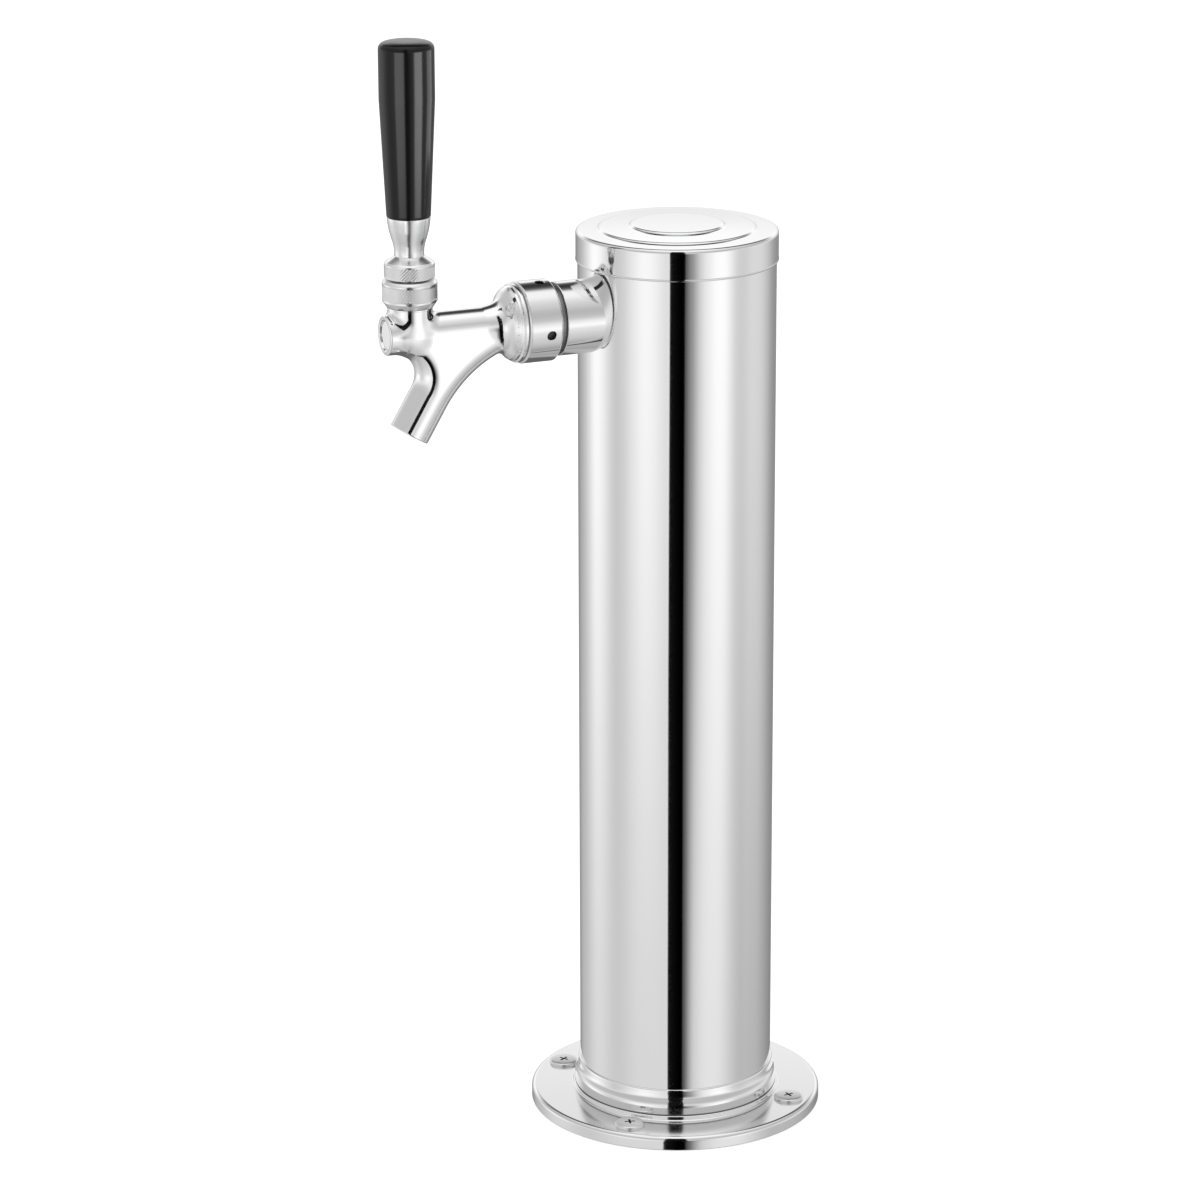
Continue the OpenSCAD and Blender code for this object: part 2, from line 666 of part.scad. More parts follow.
// The valve shaft with its piston
module valve_shaft() color("goldenrod")
    difference() {
        union() {
            turned_forward([[0, boss_front - shaft_recess], [piston_r, boss_front - shaft_recess],
                [piston_r, seal_f + seal_groove_half], [seal_groove_r, seal_f + seal_groove_half],
                [seal_groove_r, seal_f - seal_groove_half], [piston_r, seal_f - seal_groove_half],
                [piston_r, piston_back], [stem_r, piston_back],
                [stem_r, washer_front - seat_washer_t], [shaft_nut_r, washer_front - seat_washer_t],
                [shaft_nut_r, washer_front - seat_washer_t - shaft_nut_len],
                [0, washer_front - seat_washer_t - shaft_nut_len]]);
        }
        translate([-tip_slot_half, -neck_f - tip_slot_half, tap_z - tip_slot_half])
            cube([2 * tip_slot_half, 2 * tip_slot_half, 3 * valve_bore_r]);
        translate([-tip_slot_half, -neck_f - tip_slot_front, tap_z + tip_slot_step])
            cube([2 * tip_slot_half, tip_slot_front, 3 * valve_bore_r]);
    }

// The rubber washer that closes the seat
module seat_washer() color("dimgray")
    difference() {
        rod(washer_front - seat_washer_t, washer_front, seat_washer_r);
        rod(washer_front - seat_washer_t - over, washer_front + over, stem_r);
    }

// The rubber ring that seals the piston
module shaft_seal() color("dimgray")
    translate([0, -seal_f, tap_z]) rotate([quarter, 0, 0]) rotate_extrude()
        translate([seal_r, 0]) circle(r = seal_t / 2);

// The ball lever
module lever() color("goldenrod")
    union() {
        pivot_ball(ball_r);
        stalk(0, thread_foot_up, lever_stem_r);
        stalk(thread_foot_up, ferrule_top_z - pivot_z + insert_len - lever_end_gap, lever_thread_r);
        stalk(-pivot_up, 0, lever_rod_r);
        translate([0, -neck_f, tap_z]) sphere(r = lever_tip_r);
    }

// The upper knurled collar on the lever
module lever_collar() color("gainsboro")
    difference() {
        turned_upright([[lever_thread_r, pivot_z + collar_foot_up],
            [collar_r, pivot_z + collar_foot_up], [collar_r, pivot_z + collar_top_up],
            [collar_cone_r, pivot_z + collar_top_up + collar_chamfer_h],
            [ferrule_foot_r, pivot_z + collar_cone_up],
            [lever_thread_r, pivot_z + collar_cone_up]]);
        pivot_ball(collar_sphere_r);
    }

// The chrome ferrule under the handle
module handle_ferrule() color("gainsboro")
    turned_upright(concat([[lever_thread_r, ferrule_foot_z]],
        [for (s = ferrule_share) [ferrule_foot_r + s[0] * (ferrule_top_r - ferrule_foot_r),
            ferrule_foot_z + s[1] * ferrule_h]],
        [[lever_thread_r, ferrule_top_z]]));

// The black tap handle
module tap_handle() color("black")
    turned_upright(concat([[insert_r, ferrule_top_z], [handle_foot_r, ferrule_top_z],
        [handle_r, ferrule_top_z + handle_wide_share * (total_h - ferrule_top_z)],
        [handle_r, handle_shoulder_z - handle_edge],
        [handle_r - edge_67 * handle_edge, handle_shoulder_z - edge_22 * handle_edge],
        [handle_r - edge_45 * handle_edge, handle_shoulder_z - edge_45 * handle_edge],
        [handle_r - edge_22 * handle_edge, handle_shoulder_z - edge_67 * handle_edge]],
        [for (s = handle_dome_share) [s[0] * (handle_r - handle_edge),
            handle_shoulder_z + s[1] * handle_dome_h]],
        [[0, ferrule_top_z + insert_len], [insert_r, ferrule_top_z + insert_len]]));

// The threaded insert inside the handle
module handle_insert() color("goldenrod")
    difference() {
        stalk(ferrule_top_z - pivot_z, ferrule_top_z - pivot_z + insert_len, insert_r);
        stalk(ferrule_top_z - pivot_z - over, ferrule_top_z - pivot_z + insert_len + over,
            lever_thread_r);
    }

column_tube();
top_cap();
base_flange();
flange_gasket();
mounting_screws();
shank_sleeve();
saddle_washer();
shank();
shank_locknut();
tail_washer();
tail_nut();
tail_elbow();
coupling_nut();
coupling_washer();
faucet_body();
ball_washer();
friction_ring();
bonnet();
valve_shaft();
seat_washer();
shaft_seal();
lever();
lever_collar();
handle_ferrule();
tap_handle();
handle_insert();
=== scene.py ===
"""Looks of a beer tower: a polished tube on a screwed flange, with one tap and a lift-off cap.

Every piece is turned, cut or cast in millimetres here and placed in metres round the fixed
frame. +Z is up, the tap points to -Y and the resting face lies at Z = 0.
"""

import math

import bpy
import numpy as np
from mathutils import Matrix, Vector


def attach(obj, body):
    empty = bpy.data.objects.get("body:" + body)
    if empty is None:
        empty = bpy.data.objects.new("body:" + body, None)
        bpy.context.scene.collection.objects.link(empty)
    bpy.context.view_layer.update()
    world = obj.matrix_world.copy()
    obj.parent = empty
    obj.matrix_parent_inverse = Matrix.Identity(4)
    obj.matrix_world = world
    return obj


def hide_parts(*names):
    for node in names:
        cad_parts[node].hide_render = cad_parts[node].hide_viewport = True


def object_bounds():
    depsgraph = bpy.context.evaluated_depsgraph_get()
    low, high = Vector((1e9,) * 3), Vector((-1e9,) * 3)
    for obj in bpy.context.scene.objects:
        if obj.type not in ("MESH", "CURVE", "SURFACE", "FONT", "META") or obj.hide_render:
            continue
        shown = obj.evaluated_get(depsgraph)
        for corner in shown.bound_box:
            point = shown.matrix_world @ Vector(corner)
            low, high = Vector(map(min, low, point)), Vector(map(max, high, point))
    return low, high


bl_info = {
    "name": "Beer tower",
    "version": (1, 0, 0),
    "blender": (4, 5, 0),
    "location": "View3D > Sidebar > Tower",
    "description": "Builds the pieces of a single-column beer tower and its plain studio",
    "category": "Object",
}

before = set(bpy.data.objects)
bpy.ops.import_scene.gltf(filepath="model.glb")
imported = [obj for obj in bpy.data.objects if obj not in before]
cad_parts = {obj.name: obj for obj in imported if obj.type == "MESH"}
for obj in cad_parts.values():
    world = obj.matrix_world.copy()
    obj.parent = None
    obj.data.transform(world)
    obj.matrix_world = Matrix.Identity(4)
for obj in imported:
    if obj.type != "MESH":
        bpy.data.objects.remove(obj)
CAD_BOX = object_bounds()

MM = 0.001
FULL_TURN = 2 * math.pi
TOTAL_H = CAD_BOX[1][2] / MM

# Sizes in mm. Names end in _R for a radius, _Z for a height over the resting face and _F for a
# place forward of the tube's axis.
COLUMN_R, COLUMN_IN_R = 38.0, 36.5
FLANGE_R, FLANGE_TOP_Z = 57.5, 5.5
SCREW_CIRCLE_R = 48.5
TAP_Z = 324.7
SHANK_HOLE_R = 11.3
NUT_BACK_F, NUT_FRONT_F = 52.7, 66.2
NUT_R, NUT_BORE_R = 15.6, 13.4
SPANNER_F = NUT_BACK_F + 4.8
SLEEVE_R, SLEEVE_NOSE_R = 14.1, 12.9
SLEEVE_STEP_F = NUT_BACK_F - 2.25
BACK_RING_R, FRONT_RING_R = 15.0, 14.2
BOSS_R, BOSS_FRONT_F = 7.55, 118.7
VALVE_BORE_R = 5.66
NECK_R, NECK_F = 8.38, 108.4
PIVOT_Z = TAP_Z + 12.9
SPOUT_R, SPOUT_BORE_R, SPOUT_LEN = 7.75, 5.3, 45.2
SPOUT_LEAN = math.radians(30.65)
SPOUT_MEETS_F = 86.5
WEB_HALF, NECK_BALL_R = 7.25, 8.1
BONNET_R, COLLAR_R = 10.4, 9.55
LEVER_HOLE_R = 4.78
FERRULE_FOOT_Z = PIVOT_Z + 16.9
HANDLE_FOOT_Z = FERRULE_FOOT_Z + 14.8
SHAFT_R, SHAFT_STEM_R = 5.6, 2.6

# How far the round corners of the web reach along the barrel: behind the spout and before it.
BACK_ARC, CROOK_ARC = 30.0, 29.0


# -------- sizes and colours


class TowerSizes(bpy.types.PropertyGroup):
    """Sizes that change how the pieces look without moving them."""

    tube_steps: bpy.props.IntProperty(
        name="Tube facets", description="Flat strips round the tube", default=256, min=64)
    part_steps: bpy.props.IntProperty(
        name="Part facets", description="Flat strips round the small turned parts",
        default=160, min=48)
    bonnet_teeth: bpy.props.IntProperty(
        name="Bonnet knurl", description="Diamonds round the bonnet", default=56, min=20)
    collar_teeth: bpy.props.IntProperty(
        name="Collar knurl", description="Slanted teeth round the collar", default=48, min=20)
    knurl_depth: bpy.props.FloatProperty(
        name="Knurl depth", description="Depth of the knurls' grooves", default=0.00028,
        unit="LENGTH", subtype="DISTANCE")
    casting_grain: bpy.props.FloatProperty(
        name="Casting grain", description="Size of the squares in the cast body's mesh",
        default=0.00045, unit="LENGTH", subtype="DISTANCE")


class TowerColours(bpy.types.PropertyGroup):
    """Base colours of the finishes."""

    steel: bpy.props.FloatVectorProperty(
        name="Polished steel", description="Tube, cap, flange and screws", size=4,
        subtype="COLOR", default=(0.9, 0.9, 0.905, 1))
    chrome: bpy.props.FloatVectorProperty(
        name="Chrome", description="Tap, nut, sleeve and ferrule", size=4,
        subtype="COLOR", default=(0.9, 0.9, 0.905, 1))
    brass: bpy.props.FloatVectorProperty(
        name="Brass", description="Nuts inside the tube and handle insert", size=4,
        subtype="COLOR", default=(0.78, 0.6, 0.32, 1))
    black: bpy.props.FloatVectorProperty(
        name="Black plastic", description="Tap handle and saddle washer", size=4,
        subtype="COLOR", default=(0.005, 0.005, 0.0055, 1))
    white: bpy.props.FloatVectorProperty(
        name="White plastic", description="Ball washer and friction ring", size=4,
        subtype="COLOR", default=(0.85, 0.85, 0.83, 1))
    rubber: bpy.props.FloatVectorProperty(
        name="Rubber", description="Gasket, washers and seal", size=4,
        subtype="COLOR", default=(0.03, 0.03, 0.03, 1))


class StageSettings(bpy.types.PropertyGroup):
    """Where the camera stands and how bright the studio is."""

    camera_distance: bpy.props.FloatProperty(
        name="Distance", description="Level distance from the tube's axis to the camera",
        default=1.7251828, unit="LENGTH", subtype="DISTANCE")
    camera_height: bpy.props.FloatProperty(
        name="Height", description="Height of the camera over the resting face",
        default=0.7426994, unit="LENGTH", subtype="DISTANCE")
    camera_side: bpy.props.FloatProperty(
        name="Side", description="Turn of the camera from the tower's side towards its tap",
        default=math.radians(23.5), subtype="ANGLE")
    camera_tilt: bpy.props.FloatProperty(
        name="Tilt", description="How far the camera looks down",
        default=math.radians(17.2406), subtype="ANGLE")
    camera_pan: bpy.props.FloatProperty(
        name="Pan", description="How far the camera looks past the tube's axis",
        default=math.radians(-0.9854), subtype="ANGLE")
    camera_roll: bpy.props.FloatProperty(
        name="Roll", description="Turn of the picture about its middle",
        default=math.radians(-0.1546), subtype="ANGLE")
    lens: bpy.props.FloatProperty(
        name="Lens", description="Focal length in millimetres on a 36 mm picture",
        default=139.2558, min=1)
    ambient: bpy.props.FloatProperty(
        name="Soft light", description="Strength of the light from all round", default=0.8)


# -------- modelling by hand


def select_only(*objects):
    """Leaves object mode with just these objects selected, the first one active."""
    if bpy.context.object and bpy.context.object.mode != "OBJECT":
        bpy.ops.object.mode_set(mode="OBJECT")
    bpy.ops.object.select_all(action="DESELECT")
    for obj in objects:
        obj.select_set(True)
    if objects:
        bpy.context.view_layer.objects.active = objects[0]


def rounded(corners, arc=5):
    """An outline through (radius, height[, rounding]) corners, each rounding drawn as an arc."""
    out = []
    for i, corner in enumerate(corners):
        point = np.array(corner[:2], float)
        if len(corner) < 3 or i in (0, len(corners) - 1):
            out.append(tuple(point))
            continue
        back = np.array(corners[i - 1][:2], float) - point
        ahead = np.array(corners[i + 1][:2], float) - point
        back /= np.linalg.norm(back)
        ahead /= np.linalg.norm(ahead)
        half = math.acos(np.clip(back @ ahead, -1, 1)) / 2
        middle = (back + ahead) / np.linalg.norm(back + ahead)
        centre = point + middle * corner[2] / math.sin(half)
        start = point + back * corner[2] / math.tan(half) - centre
        end = point + ahead * corner[2] / math.tan(half) - centre
        sweep = math.pi - 2 * half
        for k in range(arc + 1):
            s = k / arc
            mix = (math.sin((1 - s) * sweep) * start + math.sin(s * sweep) * end) / math.sin(sweep)
            out.append(tuple(centre + mix))
    return out


def turn(name, outline, steps):
    """Draws an outline of (radius, height) in mm point by point and spins it round +Z."""
    select_only()
    bpy.ops.mesh.primitive_plane_add(size=0.01)
    obj = bpy.context.object
    obj.name = obj.data.name = name
    bpy.ops.object.mode_set(mode="EDIT")
    bpy.ops.mesh.merge(type="CENTER")
    bpy.ops.transform.translate(value=(outline[0][0] * MM, 0, outline[0][1] * MM))
    for (r0, z0), (r1, z1) in zip(outline, outline[1:]):
        bpy.ops.mesh.extrude_region_move(
            TRANSFORM_OT_translate={"value": ((r1 - r0) * MM, 0, (z1 - z0) * MM)})
    bpy.ops.mesh.select_all(action="SELECT")
    bpy.ops.mesh.spin(steps=steps, angle=FULL_TURN, center=(0, 0, 0), axis=(0, 0, 1))
    bpy.ops.mesh.select_all(action="SELECT")
    bpy.ops.mesh.remove_doubles(threshold=1e-6)
    bpy.ops.mesh.normals_make_consistent(inside=False)
    bpy.ops.object.mode_set(mode="OBJECT")
    return obj


def ring(name, corners, arc, steps):
    """A closed ring with rounded corners, turned round +Z; its first corner stays plain."""
    return turn(name, rounded([*corners, corners[0]], arc), steps)


def rod(name, radius, low, high, steps=96):
    """A plain cylinder round +Z between two heights in mm."""
    return turn(name, [(0, low), (radius, low), (radius, high), (0, high)], steps)


def shift(x, y, z):
    """The move to a place in mm."""
    return Matrix.Translation((x * MM, y * MM, z * MM))


def rotate(degrees, axis):
    """The turn by some degrees about one axis."""
    return Matrix.Rotation(math.radians(degrees), 4, axis)


def settle(obj, matrix):
    """Puts an object somewhere and writes that place into its mesh."""
    select_only(obj)
    obj.matrix_world = matrix
    bpy.ops.object.transform_apply(location=True, rotation=True, scale=True)
    return obj


def block(place, sides):
    """A box with its sides in mm, put somewhere."""
    select_only()
    bpy.ops.mesh.primitive_cube_add(size=1)
    size = Matrix.Diagonal((*(side * MM for side in sides), 1))
    return settle(bpy.context.object, place @ size)


def along_tap(obj):
    """Lays a shape turned round +Z along the tap's axis, its +Z pointing forward."""
    return settle(obj, shift(0, 0, TAP_Z) @ rotate(90, "X"))


def over_neck(obj):
    """Moves a shape turned round +Z onto the handle's axis."""
    return settle(obj, shift(0, -NECK_F, 0))


def along_spout(obj):
    """Lays a shape turned round +Z along the spout, its +Z pointing out of the tip."""
    lean = Matrix.Rotation(math.pi - SPOUT_LEAN, 4, "X")
    return settle(obj, shift(0, -SPOUT_MEETS_F, TAP_Z) @ lean)


def apply_modifier(obj, kind, **settings):
    """Adds one modifier and applies it."""
    select_only(obj)
    modifier = obj.modifiers.new(kind.title(), kind)
    for key, value in settings.items():
        setattr(modifier, key, value)
    bpy.ops.object.modifier_apply(modifier=modifier.name)


def cut(obj, tool):
    """Takes one closed shape out of another and removes the tool."""
    apply_modifier(obj, "BOOLEAN", operation="DIFFERENCE", solver="EXACT", object=tool)
    bpy.data.objects.remove(tool)
    return obj


def smooth(obj, angle=32):
    """Smooth shading that keeps real edges and lets the broad faces lead the roundings."""
    select_only(obj)
    bpy.ops.object.shade_smooth_by_angle(angle=math.radians(angle))
    apply_modifier(obj, "WEIGHTED_NORMAL", mode="FACE_AREA", weight=90, keep_sharp=True)
    return obj


def hand_over(obj, material, body, slot, *nodes):
    """Gives a finished piece its material, its body and the nodes it stands for; the slot argument
    is not used.
    """
    obj.data.materials.clear()
    obj.data.materials.append(material)
    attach(obj, body)
    if nodes:
        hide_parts(*nodes)


def darken(obj, material, inside):
    """Gives the faces whose middles, in mm, are inside a region one more material: painted shade
    in recesses and seams, or the flange's satin top.
    """
    obj.data.materials.append(material)
    for face in obj.data.polygons:
        if inside(face.center / MM):
            face.material_index = len(obj.data.materials) - 1


def off_tap(p):
    """Distance from the tap's axis."""
    return math.hypot(p.x, p.z - TAP_Z)


def shape_points(obj, change):
    """Moves a mesh's points by a function of their places in mm, and gives the new places."""
    places = np.empty(len(obj.data.vertices) * 3)
    obj.data.vertices.foreach_get("co", places)
    places = change(places.reshape(-1, 3) / MM)
    obj.data.vertices.foreach_set("co", (places * MM).ravel())
    obj.data.update()
    return places


# -------- materials


class Wire:
    """A socket that takes part in plain sums; each sum adds its Math node."""

    def __init__(self, tree, socket):
        self.tree, self.socket = tree, socket

    def sum(self, operation, *values):
        return self.tree.add("ShaderNodeMath", {"operation": operation},
                             dict(enumerate(values)))

    def __add__(self, other):
        return self.sum("ADD", self, other)

    def __sub__(self, other):
        return self.sum("SUBTRACT", self, other)

    def __rsub__(self, other):
        return self.sum("SUBTRACT", other, self)

    def __mul__(self, other):
        return self.sum("MULTIPLY", self, other)

    def __truediv__(self, other):
        return self.sum("DIVIDE", self, other)

    def __rtruediv__(self, other):
        return self.sum("DIVIDE", other, self)

    __radd__, __rmul__ = __add__, __mul__

    def larger(self, other):
        return self.sum("MAXIMUM", self, other)

    def size(self):
        return self.sum("ABSOLUTE", self)

    def towards(self, other, factor):
        """This value where the factor is 0, the other one where it is 1."""
        return self + (other - self) * factor

    def ease(self, low, high):
        """0 below low, 1 above high and a smooth slope between them."""
        return self.tree.add("ShaderNodeMapRange", {"interpolation_type": "SMOOTHSTEP"},
                             {"Value": self, "From Min": low, "From Max": high})


class Tree:
    """Adds nodes to one node tree."""

    def __init__(self, owner):
        owner.use_nodes = True
        self.nodes, self.links = owner.node_tree.nodes, owner.node_tree.links
        self.nodes.clear()

    def add(self, kind, settings=None, inputs=None, out=0):
        """Makes a node with its settings first and its sockets next, and gives one output."""
        node = self.nodes.new(kind)
        for key, value in (settings or {}).items():
            if key == "stops":
                ramp = node.color_ramp
                while len(ramp.elements) < len(value):
                    ramp.elements.new(0.5)
                for element, (place, grey) in zip(ramp.elements, value):
                    element.position = place
                    element.color = (grey, grey, grey, 1)
            elif key == "interpolation":
                node.color_ramp.interpolation = value
            else:
                setattr(node, key, value)
        for key, value in (inputs or {}).items():
            if isinstance(value, Wire):
                self.links.new(value.socket, node.inputs[key])
            else:
                node.inputs[key].default_value = value
        return Wire(self, node.outputs[out]) if node.outputs else None

    def rays(self):
        """1 or 0 for a ray from the camera, and for one that a mirror or glass sends on."""
        camera, mirror, through = (self.add("ShaderNodeLightPath", out=f"Is {kind} Ray")
                                   for kind in ("Camera", "Glossy", "Transmission"))
        return camera, mirror.larger(through)

    def blend(self, factor, first, second):
        """A colour between two colours."""
        return self.add("ShaderNodeMix", {"data_type": "RGBA"},
                        {0: factor, 6: first, 7: second}, out=2)


def new_material(name):
    """A material, its empty tree, and the place on the piece that its textures start from."""
    material = bpy.data.materials.new(name)
    tree = Tree(material)
    return material, tree, tree.add("ShaderNodeTexCoord", out="Object")


def tinted(colour, factor):
    """A colour made lighter or darker by one number."""
    return tuple(min(1, c * factor) for c in colour[:3]) + (1,)


def metal(name, colour, polish=0.04, haze=0.03, grain=(1, 1, 1), scratch=0.02):
    """A polished metal: its haze and tone vary a little, with fine polishing marks in one way."""
    material, tree, place = new_material(name)
    broad = tree.add("ShaderNodeTexNoise", inputs={"Vector": place, "Scale": 38.0, "Detail": 3.0})
    stretched = tree.add("ShaderNodeMapping", inputs={"Vector": place, "Scale": grain})
    marks = tree.add("ShaderNodeTexNoise",
                     inputs={"Vector": stretched, "Scale": 900.0, "Detail": 4.0, "Roughness": 0.6})
    rough = polish + haze * broad * marks
    tone = tree.blend(broad, tinted(colour, 0.985), tinted(colour, 1.01))
    relief = tree.add("ShaderNodeBump", inputs={
        "Strength": scratch, "Distance": 0.00002, "Height": marks})
    surface = tree.add("ShaderNodeBsdfPrincipled", inputs={
        "Base Color": tone, "Metallic": 1.0, "Roughness": rough, "Normal": relief})
    tree.add("ShaderNodeOutputMaterial", inputs={"Surface": surface})
    return material


def plastic(name, colour, rough, glint=1.5, mottle=0.06, bump=0.03, scale=220.0):
    """A moulded plastic or rubber: a faint mottle of tone and sheen over a fine skin."""
    material, tree, place = new_material(name)
    skin = tree.add("ShaderNodeTexNoise", inputs={"Vector": place, "Scale": scale, "Detail": 5.0})
    tone = tree.blend(skin, tinted(colour, 1 - mottle), tinted(colour, 1 + mottle))
    sheen = rough * (1 - mottle) + 2 * rough * mottle * skin
    relief = tree.add("ShaderNodeBump", inputs={
        "Strength": bump, "Distance": 0.00005, "Height": skin})
    surface = tree.add("ShaderNodeBsdfPrincipled", inputs={
        "Base Color": tone, "Roughness": sheen, "IOR": glint, "Normal": relief})
    tree.add("ShaderNodeOutputMaterial", inputs={"Surface": surface})
    return material


def finishes():
    """All materials of the tower, made once."""
    if "tube_polish" not in bpy.data.materials:
        c = bpy.context.scene.tower_colours
        metal("tube_polish", c.steel, 0.045, 0.05, (1, 1, 0.02))
        metal("spun_steel", c.steel, 0.05, 0.05)
        metal("screw_steel", c.steel, 0.33, 0.06)
        metal("plate_steel", c.steel, 0.12, 0.06)
        metal("bright_chrome", c.chrome, 0.045, 0.05)
        # Painted light: the cast body's chrome is a lighter copy of the chrome, standing in for
        # the brighter light on the body.
        metal("cast_chrome_painted_bright", tinted(c.chrome, 1.09), 0.075, 0.06)
        metal("satin_chrome", tinted(c.chrome, 1.04), 0.2, 0.08, (1, 1, 8))
        metal("knurled_chrome", tinted(c.chrome, 1.05), 0.18, 0.08)
        # Painted shade: a near-black steel laid on faces inside recesses, where shade falls.
        metal("painted_recess_shade", tinted(c.chrome, 0.1), 0.4, 0.2)
        # Painted shade: a dark steel for thin lines in gaps and seams between parts.
        metal("painted_seam_shade", tinted(c.chrome, 0.3), 0.3, 0.2)
        metal("turned_brass", c.brass, 0.18, 0.15, (1, 1, 6))
        plastic("handle_black", c.black, 0.16, 1.38, 0.1, 0.01)
        plastic("saddle_black", c.black, 0.45)
        plastic("bearing_white", c.white, 0.4)
        plastic("soft_rubber", c.rubber, 0.75, 1.45, 0.15, 0.2, 900.0)
    return bpy.data.materials


# -------- pieces


class Piece:
    """Shared base of the operators: an error inside one stops the whole build."""

    bl_options = {"REGISTER", "UNDO"}

    def execute(self, context):
        self.build(context.scene.tower_sizes, finishes())
        return {"FINISHED"}


class TOWER_OT_column(Piece, bpy.types.Operator):
    """Turn the upright tube and bore the shank's hole through its front"""

    bl_idname = "tower.column"
    bl_label = "Column tube"

    def build(self, sizes, mats):
        foot, head, edge, middle = 4.0, 354.63, 0.3, 180
        tube = ring("column_tube_polished", [
            (COLUMN_IN_R, middle), (COLUMN_IN_R, head, edge), (COLUMN_R, head, edge),
            (COLUMN_R, foot, edge), (COLUMN_IN_R, foot, edge)], 3, sizes.tube_steps)
        cut(tube, along_tap(rod("drill", SHANK_HOLE_R + 0.08, 20, 45)))
        hand_over(smooth(tube), mats["tube_polish"], "tower", "polished_steel", "column_tube")


class TOWER_OT_cap(Piece, bpy.types.Operator):
    """Turn the lift-off cap with its two pressed rings and its beaded skirt"""

    bl_idname = "tower.cap"
    bl_label = "Top cap"

    def build(self, sizes, mats):
        skirt, rim, corner, wall = 343.2, 355.3, 1.5, 0.62
        in_r, out_r = COLUMN_R + 0.08, COLUMN_R + 0.7
        bead = [(out_r + 0.12 * math.sin(math.pi * k / 8), skirt + 0.15 + 0.75 * k / 8)
                for k in range(9)]
        top = [(32.2, 0.12), (31.0, 0.15), (30.5, 0.19), (30.25, 0.27), (30.05, 0.42),
               (29.85, 0.62), (29.65, 0.75), (29.35, 0.82), (28.8, 0.86), (27.8, 0.9),
               (19.6, 1.2), (18.8, 1.24), (18.4, 1.3), (18.15, 1.42), (17.95, 1.62),
               (17.75, 1.83), (17.55, 1.97), (17.25, 2.04), (16.7, 2.07), (15.8, 2.09),
               (8.0, 2.17), (0, 2.2)]
        edge = [(out_r - corner + corner * math.cos(a), rim - corner + corner * math.sin(a))
                for a in np.linspace(0, math.pi / 2, 11)]
        outside = bead + edge + [(r, rim + h) for r, h in top]
        inside = [(max(0, r - 0.2 * (h > 0.3)), rim + h - wall) for r, h in reversed(top)]
        outline = (inside + [(in_r, rim - wall + 0.05), (in_r, skirt + 0.1), (in_r + 0.1, skirt),
                             (out_r - 0.1, skirt), (out_r, skirt + 0.1)] + outside)
        cap = turn("cap_spun", outline, sizes.tube_steps)
        hand_over(smooth(cap), mats["spun_steel"], "cap", "polished_steel", "top_cap")


class TOWER_OT_flange(Piece, bpy.types.Operator):
    """Turn the pressed flange with its collar"""

    bl_idname = "tower.flange"
    bl_label = "Base flange"

    def build(self, sizes, mats):
        foot_r, seam_low, seam_high = 41.4, 7.08, 7.64
        foot = [(foot_r, FLANGE_TOP_Z), (41.1, 5.55), (40.9, 5.7), (40.8, 5.95), (40.75, 6.3),
                (40.71, 6.62), (40.62, 6.84), (40.47, 6.99), (40.25, 7.08), (40.02, 7.15),
                (40.02, 7.55), (40.2, 7.65), (40.22, 7.8), (40.2, 8.6), (40.18, 9.6),
                (40.15, 10.4), (40.08, 11.1), (39.95, 11.75), (39.74, 12.35), (39.46, 12.9),
                (39.18, 13.35), (38.98, 13.8), (38.87, 14.3), (38.8, 14.9), (38.74, 15.6),
                (38.7, 16.3), (38.67, 16.75), (38.6, 17.05), (38.48, 17.25), (38.32, 17.35)]
        bore_r, lip_z, sheet = COLUMN_R + 0.01, 17.38, 1.5
        under_r, under_z = FLANGE_R - sheet, FLANGE_TOP_Z - sheet
        flange = ring("flange_pressed", [
            (bore_r, 10), (bore_r, lip_z), (38.12, lip_z), *reversed(foot),
            (FLANGE_R, FLANGE_TOP_Z, 1.7), (FLANGE_R, 0, 0.35), (under_r, 0, 0.25),
            (under_r, under_z, 0.8), (bore_r, under_z)], 7, sizes.tube_steps)
        hand_over(smooth(flange, 40), mats["spun_steel"], "tower", "polished_steel", "base_flange")
        # Painted shade: a dark line round the collar's foot, in its small undercut.
        darken(flange, mats["painted_seam_shade"], lambda p: p.xy.length < 40.3
               and seam_low < p.z < seam_high)
        darken(flange, mats["plate_steel"], lambda p: p.z > FLANGE_TOP_Z - 0.2
               and p.xy.length > foot_r - 0.2)


